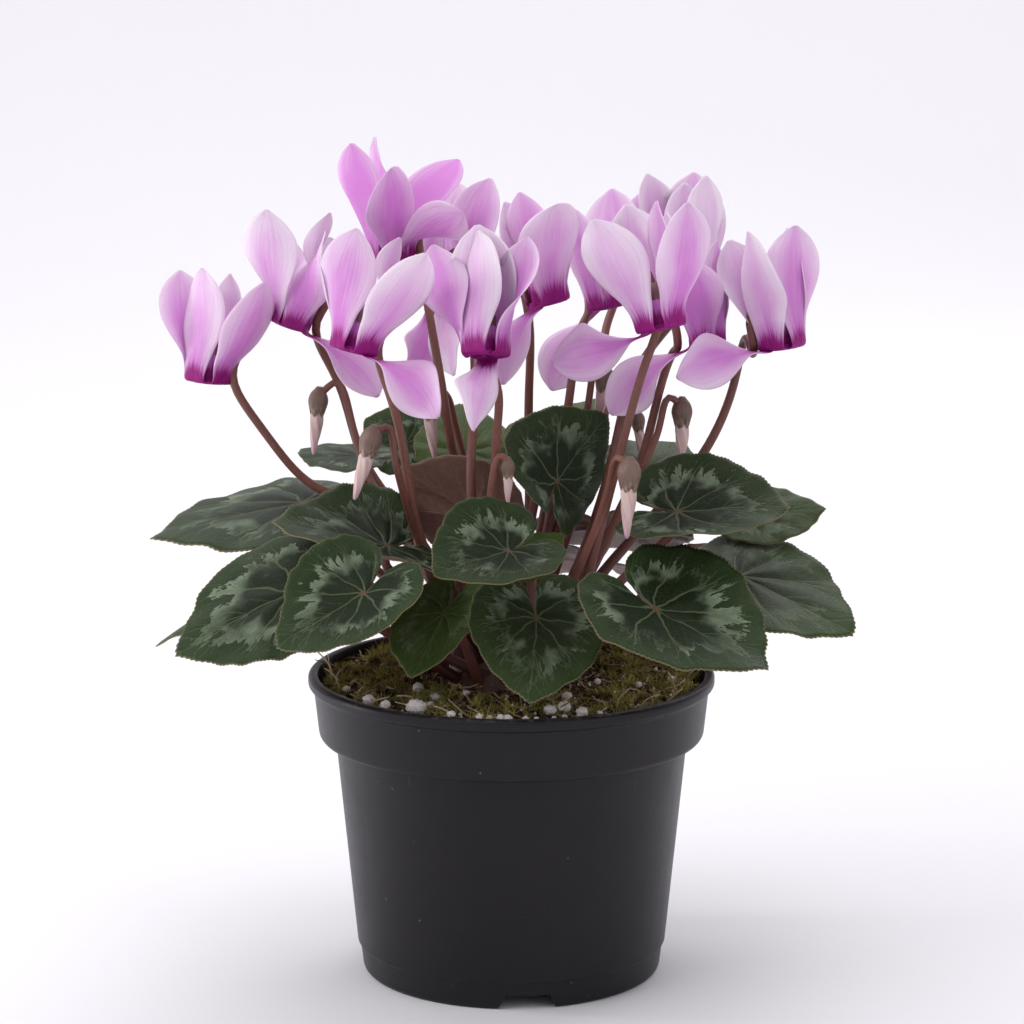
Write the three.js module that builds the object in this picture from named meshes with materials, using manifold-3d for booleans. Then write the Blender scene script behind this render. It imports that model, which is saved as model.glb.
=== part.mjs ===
// A florist's cyclamen in a black plastic nursery pot.
// Millimetres, +Z up. The origin is on the pot's axis, at the surface that the pot stands on.
// -Y is the front, the side with the lowest leaves and the drainage notch.
import * as THREE from "three";
import { mergeVertices } from "three/addons/utils/BufferGeometryUtils.js";
import Module from "manifold-3d";

const wasm = await Module();
wasm.setup();

// Driving dimensions of the pot
const POT_HEIGHT = 90;
const POT_LIP_RADIUS = 60;
const COLLAR_HEIGHT = 19;
const COLLAR_TOP_RADIUS = 58.4;
const COLLAR_FOOT_RADIUS = 56.9;
const BODY_TOP_RADIUS = 52.1;
const BODY_FOOT_RADIUS = 45.9;
const FOOT_BAND_HEIGHT = 8.5;
const FOOT_RADIUS = 44.3;
const POT_WALL = 1.6;
const POT_EDGE = 0.8;
const POT_EASE = 0.4;
const FOOT_BAND_FLARE = 0.9;
const POT_SIDES = 32;
const CHANNEL_HEIGHT = 4.5;
const CHANNEL_INNER_RADIUS = 16;
const CHANNEL_OUTER_RADIUS = 39.5;
const NOTCH_COUNT = 3;
const NOTCH_WIDTH = 13;
const NOTCH_HEIGHT = 4.3;
const NOTCH_FLARE = 2.5;
const NOTCH_AZIMUTH = -84;
const DRAIN_COUNT = 6;
const DRAIN_RADIUS = 3.5;
const DRAIN_SIDES = 8;
const CUT_DEPTH = 12;
const DRAIN_CIRCLE = 28;

// Driving dimensions of the soil and the tuber
const CLEARANCE = 0.3;
const SOIL_EDGE_HEIGHT = 86.5;
const SOIL_CROWN_RISE = 3;
const SOIL_BUMP = 1.1;
const SOIL_RINGS = [44, 34, 24, 14];
const PERLITE_COUNT = 14;
const PERLITE_SEED = 7;
const PERLITE_REACH = [26, 51];
const PERLITE_SIZES = [1.32, 3.12];
const PERLITE_RISE = 0.25;
const DISH_DEPTH = 8;
const DISH_FLARE = 7;
const TUBER_RADIUS = 21;
const TUBER_HALF_HEIGHT = 11;
const TUBER_CENTRE_HEIGHT = 84;
const TUBER_RINGS = 7;
const TUBER_SIDES = 14;
const LEAF_RINGS = [16.5, 13];
const BUD_RING = 9.5;
const FLOWER_RING = 6;

// Driving dimensions of the leaves
const BLADE_THICKNESS = 1;
const BLADE_RAYS = 22;
const HIDDEN_BLADE_RAYS = 16;
const BLADE_TOOTH = 0.022;
const BLADE_DISH = 0.05;
const BLADE_SHARES = [0.5, 1];
const STALK_APPROACH = 5;
const STALK_RISE_SHARE = 0.4;
const STALK_RISE_LIFT = 0.1;
const LEAF_STALK_RADIUS = 1.35;
const LEAF_STALK_STEPS = 6;

// Driving dimensions of the blooms and buds
const PETAL_LENGTH = 36;
const PETAL_WIDTH = 17.5;
const PETAL_THICKNESS = 1.1;
const PETAL_STEPS = 5;
const PETAL_CUP = 0.22;
const PETAL_ROOT_DEPTH = 1.1;
const PETAL_START_HEIGHT = 1;
const PETAL_START_TILT = -70;
const PETAL_TIP_THINNING = 0.4;
const PETAL_BEND_SHARE = 0.12;
const PETAL_FOOT_LIFT = 86;
const PETAL_FOOT_SHARE = 0.1;
const PETAL_SPREAD_SHARE = 0.22;
const MOUTH_RADIUS = 4.8;
const TUBE_HEIGHT = 9;
const CALYX_TOP = TUBE_HEIGHT + 4;
const THROAT_SIDES = 6;
const THROAT_DEPTH = 4;
const RIM_INSET = 0.4;
const HOOK_STEPS = 5;
const FLOWER_STALK_STEPS = 9;
const BUD_STALK_STEPS = 8;
const FLOWER_STALK_RADIUS = 1.25;
const STALK_ROOT_RADIUS = 1.75;
const BUD_STALK_RADIUS = 1.05;
const HOOK_REACH = 8;
const HOOK_FOOT = 0.5;
const HOOK_LEAD = 3.5;
const HOOK_TOP = 16;
const STALK_SIDES = 4;
const STALK_TAPER_SHARE = 0.625;
const STALK_ROOT_DEPTH = 2.5;
const BUD_LENGTH = 14;
const BUD_RADIUS = 1.9;
const BUD_SIDES = 6;
const SEPAL_LENGTH = 7;
const SEPAL_SIDES = 5;
const SEPAL_RADIUS = 2.8;

// The heart-shaped outline of a leaf: angle from the tip in degrees, and reach as a share of the length from
// stalk to tip
const HEART = [
  [0, 1], [12, 0.91], [30, 0.82], [60, 0.755], [90, 0.71], [120, 0.66], [145, 0.6], [161, 0.5], [172, 0.36],
];
const SINUS_ANGLE = 172;

// The breadth of a petal from the throat to the tip, as a share of its greatest breadth
const PETAL_OUTLINE = [
  [0, 0.34], [0.14, 0.36], [0.3, 0.6], [0.48, 0.9], [0.63, 1], [0.78, 0.88], [0.91, 0.54], [1, 0.08],
];

// What a leaf has unless its own entry says otherwise: breadth, how far the tip bows down, how far the left
// and the right side hang (negative: stand up), how far the lobes droop, how many degrees the sinus is turned
// aside, and how many rays of points make up the blade
const LEAF = { broad: 0.92, bow: 0.08, hang: [0.12, 0.12], lobes: 0, turn: 0, rays: BLADE_RAYS };

// Each leaf: where its stalk meets the blade, its tip, and the way its upper face looks
const LEAVES = [
  { name: "leaf_left_high", stalk: [-62, 17, 137], tip: [-106, 3, 130], face: [-0.14, -0.17, 0.98],
    hang: [0.18, 0.21], lobes: 0.5 },
  { name: "leaf_left_low", stalk: [-62, -35, 121.5], tip: [-95, -44, 105.5], face: [-0.29, -0.56, 0.78],
    hang: [0, 0.16], lobes: 0.3, turn: -34, via: [[-38, -13, 106]] },
  { name: "leaf_front_left", stalk: [-41, -56, 125.5], tip: [-65, -64, 111.5], face: [-0.29, -0.52, 0.8],
    broad: 0.98, bow: 0.04, hang: [-0.2, -0.5], lobes: -0.1, turn: 21, via: [[-41, -20, 110]] },
  { name: "leaf_left_middle", stalk: [-36, -18, 131], tip: [-69, -22, 139], face: [0.25, -0.18, 0.95],
    broad: 1, bow: 0.04, hang: [-0.32, -0.5], lobes: 0.27, turn: 34, via: [[-25, -4, 112]] },
  { name: "leaf_centre", stalk: [-1, -42, 134.6], tip: [-22, -57, 131], face: [0.12, -0.39, 0.91],
    broad: 0.98, bow: 0.05, hang: [-0.26, -0.5], lobes: -0.34, via: [[-4, -18, 121]] },
  { name: "leaf_front_low", stalk: [7, -41, 115], tip: [5, -64, 96], face: [0.15, -0.64, 0.75], bow: 0.05,
    hang: [-0.15, -0.09], turn: 13 },
  { name: "leaf_front_small", stalk: [-19, -26, 113], tip: [-28, -43, 98], face: [-0.47, -0.44, 0.77],
    bow: 0.05, hang: [-0.18, -0.14], lobes: -0.15, turn: -9 },
  { name: "leaf_front_right", stalk: [40.5, -48, 119], tip: [71, -65, 105], face: [0.27, -0.35, 0.89],
    broad: 0.96, bow: 0.02, hang: [-0.5, 0.05], lobes: -0.31, turn: -9 },
  { name: "leaf_right_high", stalk: [48, -20, 141.5], tip: [80, -24, 144.5], face: [-0.15, -0.43, 0.89],
    broad: 1, bow: 0.07, hang: [-0.18, -0.5], turn: -12 },
  { name: "leaf_right_low", stalk: [66, -18, 122], tip: [98, -35, 109], face: [0.24, -0.36, 0.9],
    bow: 0.06, hang: [-0.05, 0.04], lobes: 0.5 },
  { name: "leaf_right_far", stalk: [71, 10, 135], tip: [93, 13, 136], face: [0.04, -0.49, 0.87],
    bow: 0.06, hang: [0.25, -0.04], turn: -18 },
  { name: "leaf_middle_high", stalk: [13, -8, 148.5], tip: [28, 10, 165], face: [0.68, -0.7, 0.18],
    bow: 0.05, hang: [0.6, 0.55], lobes: -0.9, turn: 20, via: [[5, -1, 122]] },
  { name: "leaf_middle_back", stalk: [12, 28, 157], tip: [24, 48, 164], face: [0, 0.3, 1],
    hang: [-0.1, -0.1], rays: HIDDEN_BLADE_RAYS },
  { name: "leaf_left_rear_high", stalk: [-45, 22, 150], tip: [-64, 34, 151], face: [0, -0.1, 1],
    via: [[-30, 22, 122]] },
  { name: "leaf_rear_left_top", stalk: [-32, 47, 150], tip: [-45, 58, 156], face: [-0.37, -0.71, 0.59],
    broad: 0.9, bow: 0.06, hang: [0.13, 0.08] },
  { name: "leaf_left_under", stalk: [-76, -6, 117], tip: [-104, -8, 100], face: [-0.4, 0.1, 1],
    rays: HIDDEN_BLADE_RAYS },
  { name: "leaf_inner_left", stalk: [-11.3, 2, 137], tip: [-33.3, 2, 151], face: [0.35, 0.9, 0.3],
    broad: 0.94, bow: 0.1, hang: [-0.05, 0.1], rays: HIDDEN_BLADE_RAYS },
  { name: "leaf_rear_top", stalk: [-14, 32, 150], tip: [-16, 52, 162], face: [0.1, -1, 0.7],
    rays: HIDDEN_BLADE_RAYS },
  { name: "leaf_right_under", stalk: [64, 34, 118], tip: [93, 46, 113], face: [0, 0.35, 1], broad: 0.75,
    rays: HIDDEN_BLADE_RAYS },
  { name: "leaf_rear_right_top", stalk: [40, 24, 146], tip: [54, 44, 150], face: [0, -0.6, 1],
    rays: HIDDEN_BLADE_RAYS },
  { name: "leaf_heart_small", stalk: [5, -22, 128], tip: [15, -19, 135], face: [0, -0.6, 1],
    rays: HIDDEN_BLADE_RAYS },
  { name: "leaf_rear_left", stalk: [-34, 54, 124], tip: [-54, 82, 112], face: [-0.4, 0.8, 1],
    via: [[-24, 30, 112]], rays: HIDDEN_BLADE_RAYS },
  { name: "leaf_rear_low", stalk: [2, 50, 114], tip: [0, 84, 100], face: [0, 0.7, 1],
    rays: HIDDEN_BLADE_RAYS },
  { name: "leaf_rear_right", stalk: [30, 46, 124], tip: [46, 76, 110], face: [0.3, 0.9, 1],
    rays: HIDDEN_BLADE_RAYS },
  { name: "leaf_right_rear_low", stalk: [50, 50, 106], tip: [72, 74, 94], face: [0.5, 0.5, 1],
    rays: HIDDEN_BLADE_RAYS },
  { name: "leaf_left_rear_low", stalk: [-58, 38, 120], tip: [-82, 58, 108], face: [-0.5, 0.5, 1],
    rays: HIDDEN_BLADE_RAYS },
].map((leaf) => ({ ...LEAF, ...leaf }));

// Each bloom: the centre of its mouth, how far its top leans [right, back] in degrees, the side on which its
// stalk comes down, points that the stalk passes, and its five petals as [azimuth, lift, twist, size, curl],
// angles in degrees. Azimuth 0 is to the right and 90 to the back; lift 90 stands up and -90 hangs.
const BLOOMS = [
  { name: "bloom_far_left", mouth: [-88.3, 0, 176.5], lean: [6, 6], stalkSide: -6,
    via: [[-70, 3, 158], [-61.5, 6, 145.5], [-53, 8, 140.5], [-40, 4, 138], [-29, -1, 130], [-19, -3, 112]],
    petals: [[-127, 90, 9, 0.99, -3], [-42, 58, 0, 1.03, 28], [19, 94, 47, 0.97, 9], [101, 54, 0, 0.99, -2],
             [161, 77, 54, 0.96, 3]] },
  { name: "bloom_left", mouth: [-63.9, 0, 192.7], lean: [18, 4], stalkSide: 18,
    via: [[-50, 10, 174], [-45, 7.5, 154], [-40, 7, 145], [-30, 5, 133], [-17, 4, 112]],
    petals: [[-152, 63, -54, 1, 11], [-83, 77, 100, 0.92, 5], [-15, -20, -51, 0.86, -17],
             [74, 98, 100, 1.06, 5], [121, 51, 0, 0.89, -4]] },
  { name: "bloom_left_front", mouth: [-44.7, -24, 189], lean: [14, 10], stalkSide: 28,
    via: [[-34.5, -19, 176], [-31, -18, 160], [-27, -11, 133], [-16, -3, 108]],
    petals: [[-144, 83, -39, 1.03, 14], [-53, 53, -2, 1.09, 19], [-28, -22, -100, 0.9, -24],
             [66, 80, 90, 1.07, 6], [145, 65, 0, 0.99, -1]] },
  { name: "bloom_top_left", mouth: [-34.8, 27.4, 209.7], lean: [-6, -8], stalkSide: -12,
    via: [[-24, 4, 196], [-20, 6, 172], [-18, 12, 156], [-12, 15, 132], [-7, 10, 112]],
    petals: [[-157, 84, -27, 1.1, 8], [-80, 69, -41, 1, -11], [-41, 24, 76, 0.92, 4],
             [45, 39, -10, 1.03, -15], [100, 82, 85, 1.04, 0]] },
  { name: "bloom_centre", mouth: [-7.7, -35, 189.6], lean: [0, 18], stalkSide: 97,
    via: [[-3, -29, 181.8], [-4, -22, 169], [-5, -18, 148], [-6, -11, 115]],
    petals: [[-119, 95, 26, 1.06, 3], [-30, 72, -81, 1.01, 14], [47, 109, -30, 1.16, -8],
             [76, -126, 82, 0.82, 28], [178, 71, -73, 0.99, 12]] },
  { name: "bloom_centre_right", mouth: [10.5, -6, 200.2], lean: [-14, 6], stalkSide: 140,
    via: [[5.7, 8, 186], [5, 16, 168], [5, 11, 126]],
    petals: [[-73, 47, -7, 1.11, -13], [-21, 81, 20, 0.82, 28], [52, 105, 1, 1.02, -7],
             [124, 83, -18, 0.95, 0], [222, -41, 27, 0.82, -28]] },
  { name: "bloom_rear_left", mouth: [-20.6, 40, 193.9], lean: [0, 0], stalkSide: -10,
    via: [[-11, 22, 182], [-11, -2, 166], [-12, -12, 148], [-8, -10, 112]],
    petals: [[22, 76, -30, 1.16, -6], [72, 72, 0, 1.09, 0], [151, 95, 0, 0.82, 4], [237, -49, 91, 0.82, 28],
             [-82, -38, -69, 0.83, -26]] },
  { name: "bloom_right_inner", mouth: [29, 17, 196.2], lean: [-12, 4], stalkSide: 142,
    via: [[20, 11, 192], [17, 10, 169], [9, 7, 122]],
    petals: [[-134, 84, 13, 0.99, 0], [-68, 54, 0, 0.95, -3], [37, 55, 0, 0.82, -23], [66, 64, -5, 1.08, 6],
             [152, -45, 100, 0.88, -14]] },
  { name: "bloom_front_right", mouth: [42.1, -32, 196.7], lean: [-12, 8], stalkSide: 98,
    via: [[38.5, -22, 187], [34, -23, 171], [29, -21, 151], [23, -19, 127], [18, -9, 108]],
    petals: [[-140, 70, -31, 1.07, 2], [-50, 57, 4, 1.11, 25], [20, 90, 3, 1.07, 0],
             [101, 82, -12, 1.11, 1], [150, -4, -100, 0.96, 3]] },
  { name: "bloom_top_right", mouth: [53.6, 33.5, 195.4], lean: [4, 0], stalkSide: -108,
    via: [[42, 13, 186], [35, 9, 176], [29, 2, 150], [20, 5, 121]],
    petals: [[-61, 116, -7, 1.16, 7], [3, 99, 47, 1.16, 0], [94, 74, 7, 1.16, 0], [146, 69, 11, 1.16, 1],
             [222, 72, 20, 0.85, -1]] },
  { name: "bloom_right_low", mouth: [56, 2, 186.8], lean: [-6, 4], stalkSide: 161,
    via: [[48, 10, 187], [42, 8, 167], [39, 7, 153], [20, 3, 114]],
    petals: [[-97, 52, 0, 0.96, -3], [-50, 82, -21, 0.93, -3], [19, 87, 0, 0.82, 28], [85, 60, 0, 0.82, -5],
             [176, -33, 93, 0.89, -16]] },
  { name: "bloom_far_right", mouth: [77.5, -10, 188], lean: [-7, 4], stalkSide: 177,
    via: [[68, 6, 192], [66, 13, 173], [57, 10, 153], [28, 5, 120]],
    petals: [[-120, 76, 39, 1.08, 10], [-34, 86, 38, 1.05, -5], [35, 87, 9, 1.02, 6],
             [149, 76, 33, 0.99, 3], [206, -4, 100, 0.91, -18]] },
  { name: "bloom_rear_right", mouth: [37.6, 59, 194.7], lean: [0, 2], stalkSide: -135,
    via: [[27, 38, 183], [29, 26, 167], [24, 14, 150], [14, 9, 122]],
    petals: [[-96, 55, 0, 0.98, -3], [-19, 92, 0, 0.82, 3], [54, 94, 0, 0.92, 2], [126, 85, 0, 0.91, 1],
             [205, 77, 0, 0.82, 28]] },
];

// Each bud: the middle of its sepals' lower edge, the top of its stalk's bend, points that the stalk passes,
// the way it points, and its size
const BUDS = [
  { name: "bud_left", neck: [-57, 8, 166], bend: [-51, 8, 175],
    via: [[-46, 6, 160], [-42.5, 4.6, 147], [-34, 1, 137], [-21, 0, 114]], points: [-0.1, 0, -1], size: 1 },
  { name: "bud_left_front", neck: [-41, -26, 160], bend: [-35, -23, 167],
    via: [[-33, -23, 156], [-28, -12, 134], [-19, -5, 108]], points: [-0.28, 0, -1], size: 1.1 },
  { name: "bud_middle_left", neck: [-24, 12, 164], bend: [-20, 14, 171],
    via: [[-16, 18, 158], [-11, 18.5, 136]], points: [0.1, 0, -1], size: 1 },
  { name: "bud_centre", neck: [-1, -24, 153], bend: [-3, -24, 159], via: [[-6, -22, 148]],
    points: [0, 0, -1], size: 0.7 },
  { name: "bud_right_front", neck: [33, -40, 152.8], bend: [30, -38, 160.8],
    via: [[27, -30, 148], [20, -19, 126]], points: [-0.03, 0, -1], size: 1.15 },
  { name: "bud_right", neck: [50, 6, 163], bend: [46, 5, 171], via: [[42, 4, 158]], points: [0, 0, -1],
    size: 1.05 },
  { name: "bud_right_rear", neck: [38, 26, 158], bend: [35, 24, 165], via: [[31, 14, 150]],
    points: [0.1, 0, -1], size: 0.75 },
  { name: "bud_middle_right", neck: [27, 14, 172], bend: [25, 13, 180], via: [[22, 10, 165]],
    points: [-0.15, 0, -1], size: 0.95 },
];

const MERGE_DISTANCE = 1e-4;
const CURVE_PIECES = 60;

const vec = (p) => new THREE.Vector3(...p);
const radians = THREE.MathUtils.degToRad;

// A number between neighbouring entries of a table of [place, value], without a corner at an entry
function interpolate(table, place) {
  const end = table.findIndex(([x]) => x >= place);
  if (end <= 0) return table[end < 0 ? table.length - 1 : 0][1];
  const [x0, y0] = table[end - 1];
  const [x1, y1] = table[end];
  const before = table[Math.max(end - 2, 0)];
  const after = table[Math.min(end + 1, table.length - 1)];
  const slope0 = (y1 - before[1]) / (x1 - before[0]);
  const slope1 = (after[1] - y0) / (after[0] - x0);
  const t = (place - x0) / (x1 - x0);
  const width = x1 - x0;
  return (
    (2 * t ** 3 - 3 * t ** 2 + 1) * y0 +
    (t ** 3 - 2 * t ** 2 + t) * width * slope0 +
    (3 * t ** 2 - 2 * t ** 3) * y1 +
    (t ** 3 - t ** 2) * width * slope1
  );
}

const ease = (t) => {
  const c = Math.min(Math.max(t, 0), 1);
  return c * c * (3 - 2 * c);
};

// Seeded random numbers from 0 to 1
function dice(seed) {
  let state = seed;
  return () => {
    state = (state * 1664525 + 1013904223) % 4294967296;
    return state / 4294967296;
  };
}

function solidOf(geometry) {
  const bare = new THREE.BufferGeometry().setAttribute("position", geometry.getAttribute("position"));
  if (geometry.index) bare.setIndex(geometry.index);
  const merged = mergeVertices(bare, MERGE_DISTANCE);
  const mesh = new wasm.Mesh({
    numProp: 3,
    vertProperties: Float32Array.from(merged.attributes.position.array),
    triVerts: Uint32Array.from(merged.index.array),
  });
  return new wasm.Manifold(mesh);
}

function geometryOf(solid) {
  const mesh = solid.getMesh();
  const geometry = new THREE.BufferGeometry();
  geometry.setAttribute("position", new THREE.Float32BufferAttribute(mesh.vertProperties, 3));
  geometry.setIndex(new THREE.Uint32BufferAttribute(mesh.triVerts, 1));
  geometry.computeVertexNormals();
  return geometry;
}

// The largest connected body of a solid, without the loose scraps that a cut can leave
function mainBody(solid) {
  return solid.decompose().reduce((a, b) => (b.volume() > a.volume() ? b : a));
}

function indexed(points, faces) {
  const geometry = new THREE.BufferGeometry();
  const numbers = points.flatMap((p) => [p.x, p.y, p.z]);
  geometry.setAttribute("position", new THREE.Float32BufferAttribute(numbers, 3));
  geometry.setIndex(faces.flat());
  return geometry;
}

// A closed body through rings of points, each ring running the same way round, flat at both ends. The
// diagonals turn about from side to side, so that a blade of four-sided rings is split alike on both faces.
function loft(rings) {
  const sides = rings[0].length;
  const faces = [];
  for (let i = 0; i + 1 < rings.length; i++)
    for (let j = 0; j < sides; j++) {
      const k = (j + 1) % sides;
      const [a, b, c, d] = [i * sides + j, i * sides + k, (i + 1) * sides + k, (i + 1) * sides + j];
      if (j % 2) faces.push([a, b, d], [b, c, d]);
      else faces.push([a, b, c], [a, c, d]);
    }
  const last = (rings.length - 1) * sides;
  for (let j = 1; j + 1 < sides; j++) {
    faces.push([0, j + 1, j]);
    faces.push([last, last + j, last + j + 1]);
  }
  return indexed(rings.flat(), faces);
}

// A round tapering stalk along a smooth curve through points
function stalk(points, rootRadius, endRadius, steps, sides) {
  const curve = new THREE.CatmullRomCurve3(points.map((p) => p.clone()), false, "centripetal");
  const frames = curve.computeFrenetFrames(steps, false);
  const rings = [];
  for (let i = 0; i <= steps; i++) {
    const centre = curve.getPointAt(i / steps);
    const radius = THREE.MathUtils.lerp(rootRadius, endRadius, Math.min(1, i / steps / STALK_TAPER_SHARE));
    rings.push(
      Array.from({ length: sides }, (_, j) => {
        const angle = (2 * Math.PI * j) / sides;
        return centre
          .clone()
          .addScaledVector(frames.normals[i], radius * Math.cos(angle))
          .addScaledVector(frames.binormals[i], radius * Math.sin(angle));
      }),
    );
  }
  return solidOf(loft(rings));
}

// A body of revolution about +Z from a closed profile of [radius, height]
function turned(profile, sides) {
  const points = profile.map(([r, z]) => new THREE.Vector2(r, z));
  points.push(points[0].clone());
  return new THREE.LatheGeometry(points, sides).rotateX(Math.PI / 2);
}

// The leaf's own axes: from stalk to tip, to the left, and out of the upper face
function leafAxes(leaf) {
  const forward = vec(leaf.tip).sub(vec(leaf.stalk));
  const reach = forward.length();
  forward.normalize();
  const normal = vec(leaf.face).addScaledVector(forward, -vec(leaf.face).dot(forward)).normalize();
  return { reach, forward, normal, left: normal.clone().cross(forward) };
}

// A point of the blade's middle surface, by its angle from the tip and its share of the way to the edge
function bladePoint(leaf, axes, angle, share) {
  const edge = interpolate(HEART, Math.abs(angle));
  const turned = radians(angle + leaf.turn * Math.sin(radians(angle / 2)) ** 2);
  const x = share * edge * Math.cos(turned);
  const y = share * edge * Math.sin(turned) * leaf.broad;
  const fall = leaf.bow * Math.max(x, 0) ** 2 + leaf.lobes * Math.max(-x, 0) ** 2;
  const height = BLADE_DISH * Math.hypot(x, y) - fall - leaf.hang[y > 0 ? 0 : 1] * y * y;
  return vec(leaf.stalk)
    .addScaledVector(axes.forward, axes.reach * x)
    .addScaledVector(axes.left, axes.reach * y)
    .addScaledVector(axes.normal, axes.reach * height);
}

// The leaf blade: a thin arched heart, split at the sinus, with a toothed edge
function blade(leaf) {
  const axes = leafAxes(leaf);
  const half = axes.normal.clone().multiplyScalar(BLADE_THICKNESS / 2);
  const middle = [vec(leaf.stalk)];
  for (const share of BLADE_SHARES)
    for (let i = 0; i <= leaf.rays; i++) {
      const angle = SINUS_ANGLE * ((2 * i) / leaf.rays - 1);
      const tooth = share === 1 && i % 2 ? -BLADE_TOOTH : 0;
      middle.push(bladePoint(leaf, axes, angle, share + tooth));
    }
  const ray = leaf.rays + 1;
  const top = [];
  for (let i = 0; i < leaf.rays; i++) {
    top.push([0, 1 + i, 2 + i]);
    const [a, b, c, d] = [1 + i, 1 + ray + i, 2 + ray + i, 2 + i];
    top.push([a, b, c], [a, c, d]);
  }
  const count = middle.length;
  const rim = [0, 1];
  for (let i = 0; i <= leaf.rays; i++) rim.push(1 + ray + i);
  rim.push(1 + leaf.rays);
  const side = rim.flatMap((a, i) => {
    const b = rim[(i + 1) % rim.length];
    return [[a, b + count, b], [a, a + count, b + count]];
  });
  const points = [...middle.map((p) => p.clone().add(half)), ...middle.map((p) => p.clone().sub(half))];
  const under = top.map(([a, b, c]) => [a + count, c + count, b + count]);
  return solidOf(indexed(points, [...top, ...under, ...side]));
}

// The height of the tuber's upper side at a distance from its axis
function crownHeight(ring) {
  return TUBER_CENTRE_HEIGHT + TUBER_HALF_HEIGHT * Math.sqrt(1 - (ring / TUBER_RADIUS) ** 2);
}

// Where stalks leave the tuber: evenly round a ring of the crown, in the order in which they lie round it
function crownRoots(towards, ring) {
  const bearings = towards.map((p) => Math.atan2(p.y, p.x));
  const order = bearings.map((_, i) => i).sort((a, b) => bearings[a] - bearings[b]);
  const step = (2 * Math.PI) / order.length;
  const slack = order.map((i, place) => bearings[i] - place * step);
  const turn = slack.reduce((a, b) => a + b, 0) / slack.length;
  const roots = [];
  order.forEach((i, place) => {
    const angle = turn + place * step;
    const height = crownHeight(ring) - STALK_ROOT_DEPTH;
    roots[i] = vec([ring * Math.cos(angle), ring * Math.sin(angle), height]);
  });
  return roots;
}

// The leaf's stalk, from the crown to just below the blade's underside, which it meets squarely
function leafStalk(leaf, root) {
  const { forward, normal } = leafAxes(leaf);
  const end = vec(leaf.stalk).addScaledVector(normal, -BLADE_THICKNESS / 2 - CLEARANCE);
  const rise = root.clone().lerp(end, STALK_RISE_SHARE);
  rise.z += STALK_RISE_LIFT * (end.z - root.z);
  const approach = end.clone().addScaledVector(normal, -STALK_APPROACH).addScaledVector(forward, -1);
  const path = [root, ...(leaf.via?.map(vec) ?? [rise]), approach, end];
  return stalk(path, STALK_ROOT_RADIUS, LEAF_STALK_RADIUS, LEAF_STALK_STEPS, STALK_SIDES);
}

// The bloom's own axes: up the tube, to the right and to the back
function bloomAxes(bloom) {
  const [right, back] = bloom.lean.map((a) => Math.tan(radians(a)));
  const up = new THREE.Vector3(right, back, 1).normalize();
  const x = new THREE.Vector3(1, 0, 0).addScaledVector(up, -up.x).normalize();
  return { up, x, y: up.clone().cross(x) };
}

function around(axes, azimuth) {
  const a = radians(azimuth);
  return axes.x.clone().multiplyScalar(Math.cos(a)).addScaledVector(axes.y, Math.sin(a));
}

// How steeply a petal rises at a place along it: out over the lip of the throat, up a short way if it is a
// raised one, and then at its own lift, which its curl changes from foot to tip
function petalTilt([, lift, , , curl], s) {
  const free = lift + curl * (2 * s - 1);
  const spread = ease((s - PETAL_FOOT_SHARE) / PETAL_SPREAD_SHARE);
  const risen = lift > 0 ? THREE.MathUtils.lerp(PETAL_FOOT_LIFT, free, spread) : free;
  return radians(THREE.MathUtils.lerp(PETAL_START_TILT, risen, ease(s / PETAL_BEND_SHARE)));
}

// The middle line of a petal as {s, centre, across, face} at each step, from inside the wall of the throat
function petalFrames(bloom, shape, steps) {
  const [azimuth, , twist, size] = shape;
  const axes = bloomAxes(bloom);
  const out = around(axes, azimuth);
  const side = axes.up.clone().cross(out);
  const start = vec(bloom.mouth).addScaledVector(out, MOUTH_RADIUS - PETAL_THICKNESS);
  const centre = start.addScaledVector(axes.up, PETAL_START_HEIGHT);
  const frames = [];
  for (let i = 0; i <= CURVE_PIECES * steps; i++) {
    const s = i / (CURVE_PIECES * steps);
    const tilt = petalTilt(shape, s);
    const along = out.clone().multiplyScalar(Math.cos(tilt)).addScaledVector(axes.up, Math.sin(tilt));
    if (i % CURVE_PIECES === 0) {
      const face = side.clone().cross(along);
      const turn = radians(twist) * ease((s - PETAL_FOOT_SHARE) / (1 - 2 * PETAL_FOOT_SHARE));
      const across = side.clone().multiplyScalar(Math.cos(turn)).addScaledVector(face, Math.sin(turn));
      const rooted = centre.clone().addScaledVector(out, i ? 0 : -PETAL_ROOT_DEPTH);
      frames.push({ s, centre: rooted, across, face: across.clone().cross(along) });
    }
    centre.addScaledVector(along, (size * PETAL_LENGTH) / (CURVE_PIECES * steps));
  }
  return frames;
}

// A petal: a cupped blade, lens-shaped across, from inside the wall of the throat to its tip
function petal(bloom, shape) {
  const rings = petalFrames(bloom, shape, PETAL_STEPS).map(({ s, centre, across, face }) => {
    const half = 0.5 * shape[3] * PETAL_WIDTH * interpolate(PETAL_OUTLINE, s);
    const cup = PETAL_CUP * half * ease(s * 3);
    const thick = PETAL_THICKNESS * (1 - PETAL_TIP_THINNING * s);
    return [
      centre.clone().addScaledVector(across, half).addScaledVector(face, -cup),
      centre.clone().addScaledVector(face, -thick / 2),
      centre.clone().addScaledVector(across, -half).addScaledVector(face, -cup),
      centre.clone().addScaledVector(face, thick / 2),
    ];
  });
  return solidOf(loft(rings));
}

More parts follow.
